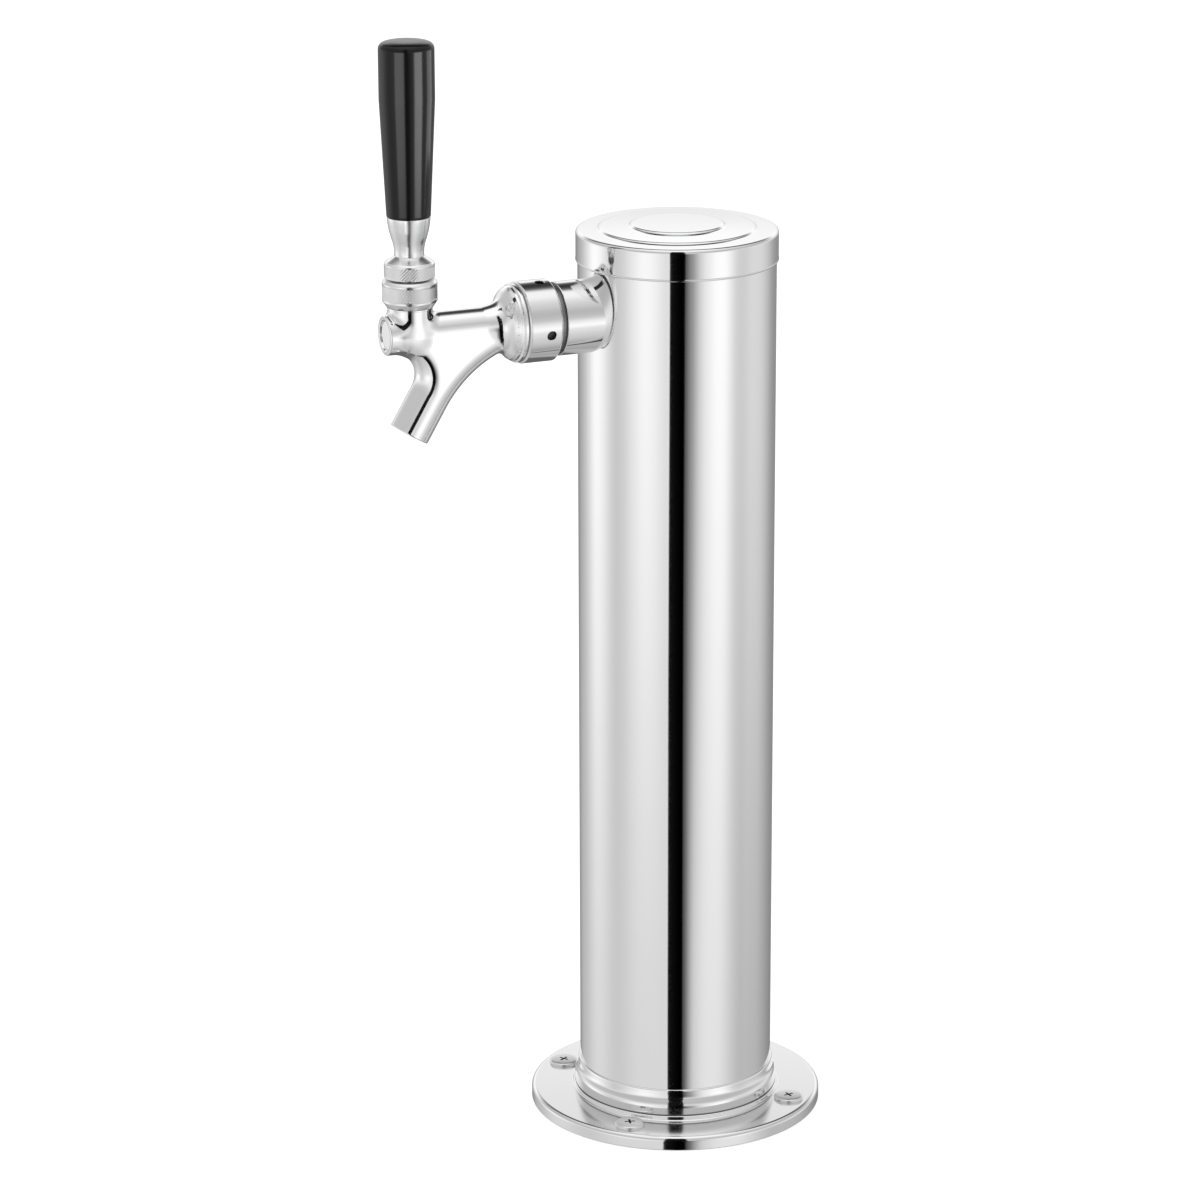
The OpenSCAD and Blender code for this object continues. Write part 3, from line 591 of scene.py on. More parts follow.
class TOWER_OT_screws(Piece, bpy.types.Operator):
    """Make one cross-head screw and copy it to its four places"""

    bl_idname = "tower.screws"
    bl_label = "Mounting screws"

    def build(self, sizes, mats):
        head_r, shank_r, top = 5.75, 2.1, 7.0
        dome = [(0, top), (1.5, 6.99), (3.0, 6.95), (4.2, 6.89), (4.8, 6.84), (5.15, 6.77),
                (5.42, 6.65), (5.6, 6.47), (5.7, 6.25), (5.74, 6.0), (head_r, FLANGE_TOP_Z),
                (shank_r, FLANGE_TOP_Z), (shank_r, 0.0), (0, 0.0)]
        screw = turn("screw", dome, 64)
        for way in (0, 90):
            slot = block(shift(0, 0, top + 0.15) @ rotate(way, "Z"), (5.4, 1.1, 2.6))
            shape_points(slot, lambda p: p * np.where(p[:, 2:] < top, [0.55, 0.55, 1], [1, 1, 1]))
            cut(screw, slot)
        smooth(screw, 35)
        copies = []
        for i, slot_turn in enumerate((8, 52, 31, 75)):
            one = screw.copy()
            one.data = screw.data.copy()
            bpy.context.collection.objects.link(one)
            angle = math.radians(45 + 90 * i)
            x, y = SCREW_CIRCLE_R * math.cos(angle), SCREW_CIRCLE_R * math.sin(angle)
            settle(one, shift(x, y, 0) @ rotate(slot_turn, "Z"))
            copies.append(one)
        bpy.data.objects.remove(screw)
        select_only(*copies)
        bpy.ops.object.join()
        screws = bpy.context.object
        screws.name = screws.data.name = "screws_cross_head"
        hand_over(screws, mats["screw_steel"], "tower", "polished_steel", "mounting_screws")
        middle = SCREW_CIRCLE_R * math.cos(math.pi / 4)
        # Painted shade: the faces inside each screw's cross recess get the near-black steel.
        darken(screws, mats["painted_recess_shade"], lambda p: 5.6 < p.z < top - 0.07
               and math.hypot(abs(p.x) - middle, abs(p.y) - middle) < 3)


class TOWER_OT_sleeve(Piece, bpy.types.Operator):
    """Turn the sleeve behind the nut and cut it to the tube's curve"""

    bl_idname = "tower.sleeve"
    bl_label = "Shank sleeve"

    def build(self, sizes, mats):
        sleeve = ring("sleeve_turned", [
            (SHANK_HOLE_R, 40), (SHANK_HOLE_R, NUT_BACK_F), (SLEEVE_NOSE_R, NUT_BACK_F, 0.2),
            (SLEEVE_NOSE_R, SLEEVE_STEP_F, 0.12), (SLEEVE_R, SLEEVE_STEP_F, 0.35),
            (SLEEVE_R, 30), (SHANK_HOLE_R, 30)], 4, sizes.part_steps)
        cut(along_tap(sleeve), rod("saddle", COLUMN_R, 290, 360, sizes.tube_steps))
        hand_over(smooth(sleeve), mats["bright_chrome"], "tower", "chrome", "shank_sleeve")
        # Painted shade: the sleeve's nose in front of its step, in the gap to the nut, is made
        # dark.
        darken(sleeve, mats["painted_seam_shade"], lambda p: off_tap(p) < SLEEVE_R - 0.2
               and -p.y > SLEEVE_STEP_F - 0.05)


class TOWER_OT_coupling_nut(Piece, bpy.types.Operator):
    """Turn the round coupling nut and drill its four spanner holes"""

    bl_idname = "tower.coupling_nut"
    bl_label = "Coupling nut"

    def build(self, sizes, mats):
        nut = ring("nut_round", [
            (NUT_BORE_R, 60), (NUT_BORE_R, NUT_FRONT_F), (14.5, NUT_FRONT_F),
            (14.9, NUT_FRONT_F - 0.22), (NUT_R, NUT_FRONT_F - 0.75, 0.4),
            (NUT_R, NUT_BACK_F + 0.8, 0.5), (14.8, NUT_BACK_F, 0.2), (SHANK_HOLE_R, NUT_BACK_F),
            (SHANK_HOLE_R, NUT_BACK_F + 3), (NUT_BORE_R, NUT_BACK_F + 3)], 4, sizes.part_steps)
        for i in range(4):
            tool = turn("spanner", [(0, 13.9), (1.7, 13.9), (1.8, 14.0), (1.8, 15.35),
                                    (2.15, 15.75), (2.15, 17), (0, 17)], 40)
            cut(nut, settle(tool, shift(0, 0, SPANNER_F) @ rotate(-9.5 + 90 * i, "Z")
                            @ rotate(90, "Y")))
        hand_over(smooth(along_tap(nut)), mats["bright_chrome"], "tower", "chrome", "coupling_nut")
        # Painted shade: the insides of the spanner holes get the near-black steel.
        darken(nut, mats["painted_recess_shade"], lambda p: off_tap(p) < NUT_R - 0.3
               and abs(-p.y - SPANNER_F) < 1.86)
        # Painted shade: the nut's front end, in the seam against the body's ring, is made dark.
        darken(nut, mats["painted_seam_shade"], lambda p: -p.y > NUT_FRONT_F - 0.24)


# -------- the cast body


def smooth_curve(knots):
    """A curve through (place, value) knots that never overshoots them."""
    x, y = np.array(sorted(knots), float).T
    rise = np.diff(y) / np.diff(x)
    inner = np.where(rise[1:] * rise[:-1] > 0,
                     2 * rise[1:] * rise[:-1] / (rise[1:] + rise[:-1] + 1e-12), 0)
    tangent = np.concatenate([[0], inner, [0]])

    def at(t):
        t = np.clip(t, x[0], x[-1])
        i = np.clip(np.searchsorted(x, t) - 1, 0, len(x) - 2)
        h = x[i + 1] - x[i]
        s = (t - x[i]) / h
        return (y[i] * (1 + 2 * s) * (1 - s) ** 2 + y[i + 1] * s * s * (3 - 2 * s)
                + h * tangent[i] * s * (1 - s) ** 2 + h * tangent[i + 1] * s * s * (s - 1))
    return at


# The casting's radius by its place forward of the tube's axis, from the boss to the flare.
barrel_radius = smooth_curve([
    (125, BOSS_R), (113.5, 7.5), (110.5, 7.1), (107, 6.4), (86, 6.4), (80, 7.0), (77, 7.4),
    (75.3, 7.9), (73.9, 8.85), (72.5, 10.5), (71.0, 12.65), (69.3, 14.1), (64, 14.4)])


def soft_min(a, b, reach):
    """The lesser of two distances, with a rounded hollow where they meet."""
    near = np.clip(1 - np.abs(a - b) / reach, 0, 1)
    return np.minimum(a, b) - near * near * reach / 4


def to_web(p):
    """Distance to the web: a sheet with round edges through the barrel's and spout's lines."""
    across, ahead, up = p.T
    sway, drop = math.sin(SPOUT_LEAN), math.cos(SPOUT_LEAN)
    down_spout = (ahead - SPOUT_MEETS_F) * sway - up * drop
    aside = (ahead - SPOUT_MEETS_F) * drop + up * sway
    out = 0.0
    for run, side in ((BACK_ARC, -1), (CROOK_ARC, 1)):
        curve = run * math.tan((math.pi / 2 - side * SPOUT_LEAN) / 2)
        middle = SPOUT_MEETS_F + side * run
        bend = curve - np.hypot(ahead - middle, up + curve)
        bend = np.where(side * (ahead - middle) > 0, -up, bend)
        out = np.maximum(out, np.where(down_spout > run, side * aside, bend))
    out = np.where(up > 3, up, np.maximum(out, np.clip(up + 3, 0, 6) ** 2 / 12))
    fall = np.clip(-up / 25, 0, 1)
    return np.hypot(across, out) - WEB_HALF - (SPOUT_R - WEB_HALF) * fall * fall * (3 - 2 * fall)


def casting(p):
    """Distance to the cast body's skin at places in mm: across, forward and up from its axis."""
    across, ahead, up = p.T
    radius = barrel_radius(ahead)
    slope = (barrel_radius(ahead + 0.05) - barrel_radius(ahead - 0.05)) / 0.1
    barrel = (np.hypot(across, up) - radius) / np.sqrt(1 + slope ** 2)
    skin = soft_min(barrel, to_web(p), 0.4 + 2.4 * np.clip((80 - ahead) / 5, 0, 1))
    ball = np.linalg.norm(p - np.array([0, NECK_F, 0]), axis=1) - NECK_BALL_R
    neck = np.where(up > 0, np.hypot(across, ahead - NECK_F), 1e3) - NECK_R
    neck = np.minimum(neck, ball)
    reach = 0.2 + 2.6 * np.clip((BOSS_FRONT_F - 0.7 - ahead) / 1.4, 0, 1)
    return soft_min(skin, neck, reach)


def tap_places(p):
    """Frame places in mm as across, forward and up from the tap's axis, and the way back."""
    return np.stack([p[:, 0], -p[:, 1], p[:, 2] - TAP_Z], axis=1)


def frame_places(q):
    return np.stack([q[:, 0], -q[:, 1], q[:, 2] + TAP_Z], axis=1)


def skin_slope(q, step=0.01):
    """Direction in which the distance to the casting grows fastest."""
    return np.stack([(casting(q + step * e) - casting(q - step * e)) / (2 * step)
                     for e in np.eye(3)], axis=1)


def onto_skin(p, rounds=6):
    """Moves frame places in mm onto the casting's skin."""
    q = tap_places(p)
    for _ in range(rounds):
        slope = skin_slope(q)
        step = casting(q)[:, None] * slope / np.maximum((slope ** 2).sum(1), 0.2)[:, None]
        q = q - np.clip(step, -1.0, 1.0)
    return frame_places(q)


def clear_selection(mesh, vertices=True):
    """Selects nothing, and sets edit mode to pick vertices or else edges."""
    bpy.context.tool_settings.mesh_select_mode = (vertices, not vertices, False)
    for item in (*mesh.polygons, *mesh.edges, *mesh.vertices):
        item.select = False


def grow_lip(obj, centre, way, radius, steps):
    """Trims a mesh at a plane and draws its open edge on through (advance, radius) steps."""
    centre, way = Vector(centre) * MM, Vector(way).normalized()
    mesh, near = obj.data, 0.06 * MM
    select_only(obj)
    clear_selection(mesh)
    for v in mesh.vertices:
        v.select = (v.co - centre).length < (BACK_RING_R + 2) * MM
    bpy.ops.object.mode_set(mode="EDIT")
    bpy.ops.mesh.bisect(plane_co=centre, plane_no=way, clear_outer=True, threshold=near)
    bpy.ops.object.mode_set(mode="OBJECT")
    clear_selection(mesh, vertices=False)
    users = {}
    for face in mesh.polygons:
        for key in face.edge_keys:
            users[key] = users.get(key, 0) + 1
    rim = set()
    for edge in mesh.edges:
        ends = [mesh.vertices[i] for i in edge.vertices]
        if users.get(edge.key) == 1 and all(abs((v.co - centre) @ way) < 2 * near for v in ends):
            edge.select = True
            rim.update(edge.vertices)
    for v in (mesh.vertices[i] for i in rim):
        out = v.co - centre
        v.select = True
        v.co = centre + (out - way * (out @ way)).normalized() * radius * MM
    bpy.ops.object.mode_set(mode="EDIT")
    done, was = 0.0, radius
    for advance, size in steps:
        move = way * (advance - done) * MM
        bpy.ops.mesh.extrude_region_move(TRANSFORM_OT_translate={"value": move})
        bpy.ops.transform.resize(value=[size / was] * 3,
                                 center_override=centre + way * advance * MM)
        done, was = advance, size
    bpy.ops.mesh.edge_face_add()
    bpy.ops.object.mode_set(mode="OBJECT")
    bpy.context.tool_settings.mesh_select_mode = (True, False, False)


class TOWER_OT_tap_body(Piece, bpy.types.Operator):
    """Cast the tap's body as one flowing skin, then finish its rings, rims and bores"""

    bl_idname = "tower.tap_body"
    bl_label = "Tap body"

    def build(self, sizes, mats):
        body = self.cast(sizes.casting_grain)
        self.finish_rims(body)
        self.bore(body)
        smooth(body, 30)
        self.true_normals(body.data)
        # The body's lighter chrome paints in the brighter light that falls on it.
        hand_over(body, mats["cast_chrome_painted_bright"], "tower", "chrome", "faucet_body")
        # Painted shade: the ring's back face in the seam against the nut is made dark.
        darken(body, mats["painted_seam_shade"], lambda p: 13.4 < off_tap(p) < BACK_RING_R - 0.02
               and NUT_FRONT_F < -p.y < NUT_FRONT_F + 0.46)

    def cast(self, grain):
        """Joins rough rods, wraps them in one even mesh and draws it onto the casting's skin."""
        stations = [64, 68, 70, 72, 74, 76, 80, 90, 100, 110, 124]
        barrel = [(float(barrel_radius(f)), f) for f in stations]
        body = along_tap(turn("tap_body_cast", [(0, stations[0]), *barrel, (0, stations[-1])], 48))
        neck = over_neck(rod("neck", NECK_R, TAP_Z - 6, TAP_Z + 16, 48))
        spout = along_spout(rod("spout", SPOUT_R, 0, SPOUT_LEN + 4.8, 48))
        crook = settle(rod("crook", SPOUT_R, -24, 0, 48), shift(0, -99, TAP_Z))
        back = rod("back", SPOUT_R, -28, 0, 48)
        settle(back, shift(0, -79, TAP_Z - 1) @ rotate(-44, "X"))
        select_only(body, neck, spout, crook, back)
        bpy.ops.object.join()
        body.data.remesh_voxel_size = grain
        bpy.ops.object.voxel_remesh()
        for _ in range(4):
            shape_points(body, onto_skin)
            bpy.ops.object.mode_set(mode="EDIT")
            bpy.ops.mesh.select_all(action="SELECT")
            bpy.ops.mesh.vertices_smooth(factor=0.5, repeat=2)
            bpy.ops.object.mode_set(mode="OBJECT")
        shape_points(body, lambda p: onto_skin(p, 10))
        return body

    def finish_rims(self, body):
        """Ends the casting in its boss, its spout's mouth, its neck's seat and its two rings."""
        grow_lip(body, (0, 0.6 - BOSS_FRONT_F, TAP_Z), (0, -1, 0), BOSS_R, [
            (0.2, BOSS_R - 0.03), (0.36, BOSS_R - 0.1), (0.48, BOSS_R - 0.22),
            (0.56, BOSS_R - 0.38), (0.6, BOSS_R - 0.6), (0.6, 6.3), (0.56, 6.05),
            (0.46, 5.86), (0.3, 5.76), (0.1, 5.72), (-0.9, 5.72)])
        down = np.array([0, -math.sin(SPOUT_LEAN), -math.cos(SPOUT_LEAN)])
        mouth = np.array([0, -SPOUT_MEETS_F, TAP_Z]) + (SPOUT_LEN - 0.5) * down
        grow_lip(body, mouth, down, SPOUT_R, [
            (0.2, SPOUT_R - 0.02), (0.35, SPOUT_R - 0.09), (0.46, SPOUT_R - 0.21),
            (0.5, SPOUT_R - 0.35), (0.5, 5.75), (0.45, 5.55), (0.3, 5.42), (0.1, 5.36),
            (-1.5, 5.36)])
        grow_lip(body, (0, -NECK_F, TAP_Z + 9.75), (0, 0, 1), NECK_R, [
            (0.08, 8.42), (0.12, 8.6), (0.2, 8.68), (0.6, 8.68), (0.7, 8.62), (0.74, 8.36),
            (5.9, 8.36), (5.95, 8.3), (5.95, 6.85), (5.0, 6.85)])
        front, back = FRONT_RING_R, BACK_RING_R
        grow_lip(body, (0, -NUT_FRONT_F - 4, TAP_Z), (0, 1, 0), 13.35, [
            (0.4, 13.7), (0.75, 13.9), (0.95, 14.05), (1.05, 14.17), (1.2, front), (1.75, front),
            (1.9, 14.22), (2.02, 14.32), (2.12, 14.52), (2.22, 14.78), (2.34, 14.93), (2.5, back),
            (3.5, back), (3.64, 14.95), (3.75, 14.82), (3.86, 14.6), (4.0, 14.3), (4.0, 13.3),
            (11.5, 13.3)])

    def bore(self, body):
        """Cuts the valve's and the spout's ways, the ball's socket and the lever's slot."""
        seat, feed_r = 4.3, 4.9
        cut(body, along_tap(turn("valve_way", [
            (0, 57), (6.6, 57), (6.6, 62), (seat, 62), (seat, 64), (VALVE_BORE_R, 64),
            (VALVE_BORE_R, 119.5), (0, 119.5)], 96)))
        cut(body, along_spout(turn("spout_way", [
            (0, 0), (feed_r, 0), (feed_r, 19.2), (SPOUT_BORE_R, 19.2), (SPOUT_BORE_R, 47),
            (0, 47)], 96)))
        cut(body, over_neck(rod("socket", 6.75, PIVOT_Z - 5.5, PIVOT_Z + 5)))
        cut(body, block(shift(0, -NECK_F + 2, TAP_Z + 6), (5.2, 9.2, 12)))

    def true_normals(self, mesh):
        """Shades the cast skin by its exact slope, so that reflections flow over it."""
        places = np.empty(len(mesh.vertices) * 3)
        mesh.vertices.foreach_get("co", places)
        q = tap_places(places.reshape(-1, 3) / MM)
        slope = skin_slope(q)
        slope /= np.linalg.norm(slope, axis=1)[:, None]
        exact = frame_places(slope) - frame_places(np.zeros((1, 3)))
        on_skin = np.abs(casting(q)) < 0.003
        corner = np.empty(len(mesh.loops), int)
        mesh.loops.foreach_get("vertex_index", corner)
        shown = np.empty(len(mesh.loops) * 3)
        mesh.corner_normals.foreach_get("vector", shown)
        shown = shown.reshape(-1, 3)
        use = on_skin[corner] & ((exact[corner] * shown).sum(1) > 0.8)
        shown[use] = exact[corner][use]
        mesh.normals_split_custom_set([tuple(n) for n in shown])


# -------- knurls, ferrule, handle, shaft


def knurl(obj, teeth, low, high, depth, diamonds):
    """Presses a knurl into the points between two heights: diamonds, or slanted teeth."""
    def press(p):
        across, fore = p[:, 0], p[:, 1]
        radius = np.hypot(across, fore)
        turns = np.arctan2(fore, across) / FULL_TURN * teeth
        rise = (p[:, 2] - low) / (FULL_TURN * radius.max() / teeth)
        valley = np.abs(2 * ((turns - rise) % 1) - 1)
        if diamonds:
            valley = np.maximum(valley, np.abs(2 * ((turns + rise) % 1) - 1))
        inside = np.clip(np.minimum(p[:, 2] - low, high - p[:, 2]) / 0.35, 0, 1)
        outside = radius > radius.max() - 0.02
        sink = np.where(outside, depth * inside * valley ** 1.5, 0)
        p[:, :2] *= (1 - sink / np.maximum(radius, 1e-6))[:, None]
        return p
    shape_points(obj, press)


def band_rows(radius, low, high, teeth):
    """Outline points every sixth of a tooth between two heights."""
    count = round((high - low) / (FULL_TURN * radius / teeth / 6))
    return [(radius, low + (high - low) * k / count) for k in range(count + 1)]


class TOWER_OT_bonnet(Piece, bpy.types.Operator):
    """Turn the lower collar and press its diamond knurl"""

    bl_idname = "tower.bonnet"
    bl_label = "Bonnet"

    def build(self, sizes, mats):
        low, high = PIVOT_Z + 0.7, PIVOT_Z + 6.0
        bore_r = 8.43
        lower = rounded([(bore_r, PIVOT_Z + 2), (bore_r, PIVOT_Z - 2.2),
                         (8.9, PIVOT_Z - 2.3, 0.15), (BONNET_R, PIVOT_Z - 0.2, 0.6),
                         (BONNET_R, low)], 4)
        upper = rounded([(BONNET_R, high), (BONNET_R, PIVOT_Z + 6.9, 0.35),
                         (9.5, PIVOT_Z + 8, 0.3), (7.6, PIVOT_Z + 8, 0.2), (7.0, PIVOT_Z + 5.8),
                         (bore_r, PIVOT_Z + 5.8), (bore_r, PIVOT_Z + 2)], 4)
        rows = band_rows(BONNET_R, low, high, sizes.bonnet_teeth)
        bonnet = turn("bonnet_knurled", lower[:-1] + rows + upper[1:], sizes.bonnet_teeth * 6)
        knurl(bonnet, sizes.bonnet_teeth, low, high, sizes.knurl_depth / MM, True)
        hand_over(smooth(over_neck(bonnet), 60), mats["knurled_chrome"], "tower", "chrome",
                  "bonnet")


class TOWER_OT_lever_collar(Piece, bpy.types.Operator):
    """Turn the upper collar and press its slanted knurl"""

    bl_idname = "tower.lever_collar"
    bl_label = "Lever collar"

    def build(self, sizes, mats):
        low, high, ball = PIVOT_Z + 9.0, PIVOT_Z + 13.6, 12.8
        inner, outer = (math.asin(r / ball) for r in (LEVER_HOLE_R, 9.25))
        hollow = [(ball * math.sin(a), PIVOT_Z + ball * math.cos(a))
                  for a in np.linspace(inner, outer, 9)]
        crown = rounded([(COLLAR_R, high), (9.5, PIVOT_Z + 14.1, 0.3), (8.9, PIVOT_Z + 14.75, 0.3),
                         (5.6, FERRULE_FOOT_Z), (LEVER_HOLE_R, FERRULE_FOOT_Z),
                         (LEVER_HOLE_R, PIVOT_Z + 14)], 4)
        outline = [(LEVER_HOLE_R, PIVOT_Z + 14), *hollow, (9.45, PIVOT_Z + 8.82), (COLLAR_R, low),
                   *band_rows(COLLAR_R, low, high, sizes.collar_teeth)[1:], *crown[1:]]
        collar = turn("collar_knurled", outline, sizes.collar_teeth * 6)
        knurl(collar, sizes.collar_teeth, low, high, sizes.knurl_depth / MM, False)
        hand_over(smooth(over_neck(collar), 60), mats["knurled_chrome"], "tap_lever", "chrome",
                  "lever_collar")


class TOWER_OT_ferrule(Piece, bpy.types.Operator):
    """Turn the waisted ferrule under the handle"""

    bl_idname = "tower.ferrule"
    bl_label = "Handle ferrule"

    def build(self, sizes, mats):
        foot, head, hole = FERRULE_FOOT_Z, HANDLE_FOOT_Z, LEVER_HOLE_R
        waist = smooth_curve([(foot, 5.58), (foot + 1.7, 5.6), (foot + 4.2, 5.94),
                              (foot + 7.3, 6.86), (foot + 10.3, 7.6), (head, 8.15)])
        side = [(float(waist(z)), z) for z in np.linspace(foot + 0.1, head - 0.3, 25)]
        outline = [(hole, foot + 5.5), (hole, foot), *side, (8.12, head - 0.1), (8.0, head),
                   (hole, head), (hole, foot + 5.5)]
        ferrule = over_neck(turn("ferrule_turned", outline, sizes.part_steps))
        hand_over(smooth(ferrule), mats["satin_chrome"], "tap_lever", "chrome", "handle_ferrule")


class TOWER_OT_handle(Piece, bpy.types.Operator):
    """Turn the black tapered handle with its rounded head"""

    bl_idname = "tower.handle"
    bl_label = "Tap handle"

    def build(self, sizes, mats):
        foot, head, neck = HANDLE_FOOT_Z, TOTAL_H, TOTAL_H - 3.0
        hole_r, widest, shoulder_r = 6.4, 10.43, 2.4
        shoulder = [(widest + shoulder_r * (math.cos(a) - 1), neck + shoulder_r * math.sin(a))
                    for a in np.linspace(0, math.radians(72), 12)]
        top = [(r, head - 0.72 * (r / 8.77) ** 4) for r in (8.3, 7.6, 6.8, 5.9, 4.8, 3.4, 1.8, 0)]
        outline = rounded([
            (0, foot + 18), (hole_r, foot + 18), (hole_r, foot + 0.05), (8.25, foot + 0.05, 0.25),
            (8.32, foot + 0.9, 0.4), (widest, foot + 44, 24), (widest, neck)], 7)
        outline = outline[:-1] + shoulder + top
        handle = over_neck(turn("handle_gloss", outline, sizes.part_steps))
        hand_over(smooth(handle), mats["handle_black"], "tap_lever", "black_plastic", "tap_handle")


class TOWER_OT_valve_shaft(Piece, bpy.types.Operator):
    """Turn the valve shaft, groove it for its seal and slot it for the lever"""

    bl_idname = "tower.valve_shaft"
    bl_label = "Valve shaft"

    def build(self, sizes, mats):
        front, back, groove_r, head_r = BOSS_FRONT_F - 1.1, 57.5, 3.86, 3.6
        outline = rounded([
            (0, front), (SHAFT_R - 0.05, front, 0.25), (SHAFT_R, 104.2, 0.1), (groove_r, 104),
            (groove_r, 102), (SHAFT_R, 101.9, 0.1), (SHAFT_R, 101, 0.3), (SHAFT_STEM_R, 101, 0.3),
            (SHAFT_STEM_R, 58.96), (head_r, 58.96, 0.2), (head_r, back, 0.3), (0, back)], 3)
        shaft = along_tap(turn("shaft_turned", outline, 96))
        for low, ahead, behind in ((-2.65, 2.65, 2.65), (1.5, 4.9, 2.6)):
            middle = shift(0, -NECK_F - (ahead - behind) / 2, TAP_Z + low + 6)
            cut(shaft, block(middle, (5.3, ahead + behind, 12)))
        hand_over(smooth(shaft), mats["bright_chrome"], "valve", "brass", "valve_shaft")


class TOWER_OT_inner_parts(Piece, bpy.types.Operator):
    """Give the pieces inside the tower, which keep their own shapes, their finishes"""

    bl_idname = "tower.inner_parts"
    bl_label = "Inner parts"

    def build(self, sizes, mats):
        for finish, nodes in {
            "bright_chrome": ("shank", "tail_elbow", "lever"),
            "turned_brass": ("shank_locknut", "tail_nut", "handle_insert"),
            "saddle_black": ("saddle_washer",),
            "bearing_white": ("ball_washer", "friction_ring"),
            "soft_rubber": ("flange_gasket", "tail_washer", "coupling_washer", "seat_washer",
                            "shaft_seal"),
        }.items():
            for node in nodes:
                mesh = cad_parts[node].data
                mesh.materials.clear()
                mesh.materials.append(mats[finish])


# -------- camera, floor, studio


class TOWER_OT_stage(bpy.types.Operator):
    """Set up the camera, the pale floor and the soft studio round the tower"""

    bl_idname = "tower.stage"
    bl_label = "Studio"
    bl_options = {"REGISTER", "UNDO"}

    def execute(self, context):
        settings = context.scene.tower_stage
        context.scene.view_settings.view_transform = "Standard"
        self.aim(context.scene, settings)
        self.lay_floor()
        self.light(context.scene, settings)
        # In the tube's mirror the casting would leave a streak under the sleeve.
        bpy.data.objects["tap_body_cast"].visible_glossy = False
        for name, piece, spot, *rest in SOFT_BOXES:
            self.soft_box(context.scene, settings, name, bpy.data.objects[piece], spot, *rest)
        return {"FINISHED"}

    def soft_box(self, scene, s, name, piece, spot, around, height, far, wide, tall, glow):
        """A soft light for one piece, at a bearing and height in degrees as seen from a spot."""
        turned = math.radians(around) - s.camera_side
        rise = math.radians(height)
        way = Vector((math.cos(turned) * math.cos(rise), math.sin(turned) * math.cos(rise),
                      math.sin(rise)))
        lamp = bpy.data.lights.new(name, "AREA")
        lamp.shape, lamp.size, lamp.size_y = "RECTANGLE", wide, tall
        lamp.energy = glow * math.pi * wide * tall
        box = bpy.data.objects.new(name, lamp)
        scene.collection.objects.link(box)
        facing = way.to_track_quat("Z", "Y").to_matrix().to_4x4()
        box.matrix_world = Matrix.Translation(Vector(spot) * MM + way * far) @ facing
        box.visible_camera = False
        lit = bpy.data.collections.new(name)
        lit.objects.link(piece)
        box.light_linking.receiver_collection = lit

    def aim(self, scene, s):
        """Stands the camera where the photograph was taken from."""
        turn_in = Matrix(((math.sin(s.camera_side), -math.cos(s.camera_side), 0),
                          (math.cos(s.camera_side), math.sin(s.camera_side), 0), (0, 0, 1)))
        pan, tilt = s.camera_pan, s.camera_tilt
        ahead = Vector((math.sin(pan) * math.cos(tilt), math.cos(pan) * math.cos(tilt),
                        -math.sin(tilt)))
        right = Vector((math.cos(pan), -math.sin(pan), 0))
        up = right.cross(ahead)
        cos, sin = math.cos(s.camera_roll), math.sin(s.camera_roll)
        axes = [turn_in @ v for v in (right * cos + up * sin, up * cos - right * sin, -ahead)]
        place = turn_in @ Vector((0, -s.camera_distance, s.camera_height))
        lens = bpy.data.cameras.new("camera")
        lens.lens, lens.sensor_width, lens.clip_end = s.lens, 36, 50
        camera = bpy.data.objects.new("camera", lens)
        scene.collection.objects.link(camera)
        camera.matrix_world = Matrix.Translation(place) @ Matrix(axes).transposed().to_4x4()
        scene.camera = camera

    def lay_floor(self):
        """A wide pale floor that only keeps the soft shadow, and that mirrors don't repeat."""
        select_only()
        bpy.ops.mesh.primitive_circle_add(vertices=96, radius=14, fill_type="NGON",
                                          location=(0, 0, -0.0001))
        floor = bpy.context.object
        floor.name = "floor"
        material, tree, place = new_material("floor_paper")
        fibre = tree.add("ShaderNodeTexNoise", inputs={"Vector": place, "Scale": 60.0})
        paper = tree.blend(fibre, (0.93, 0.93, 0.93, 1), (0.95, 0.95, 0.95, 1))
        matt = tree.add("ShaderNodeBsdfDiffuse", inputs={"Color": paper})
        camera, mirror = tree.rays()
        glow = tree.add("ShaderNodeEmission", inputs={"Strength": 0.45 * camera})
        lit = tree.add("ShaderNodeAddShader", inputs={0: matt, 1: glow})
        clear = tree.add("ShaderNodeBsdfTransparent")
        surface = tree.add("ShaderNodeMixShader", inputs={0: 1 - mirror, 1: clear, 2: lit})
        tree.add("ShaderNodeOutputMaterial", inputs={"Surface": surface})
        floor.data.materials.append(material)

    def light(self, scene, s):
        """Even light for paint and plastic, and for metal a studio of soft boxes and dark gaps."""
        world = bpy.data.worlds.new("studio")
        scene.world = world
        tree = Tree(world)
        way = tree.add("ShaderNodeTexCoord", out="Generated")
        x, y, z = (tree.add("ShaderNodeSeparateXYZ", inputs={0: way}, out=axis) for axis in "XYZ")
        cos, sin = math.cos(s.camera_side), math.sin(s.camera_side)
        near = x * cos - y * sin
        side = x * sin + y * cos
        around = near.sum("ARCTAN2", side, near) * math.degrees(1)
        height = z.sum("ARCSINE", z) * math.degrees(1)

        def ramp(stops, place, start, length):
            return tree.add("ShaderNodeValToRGB", {"interpolation": "CARDINAL", "stops": [
                ((at - start) / length, grey / 1.2) for at, grey in stops]},
                {0: (place - start) / length}) * 1.2

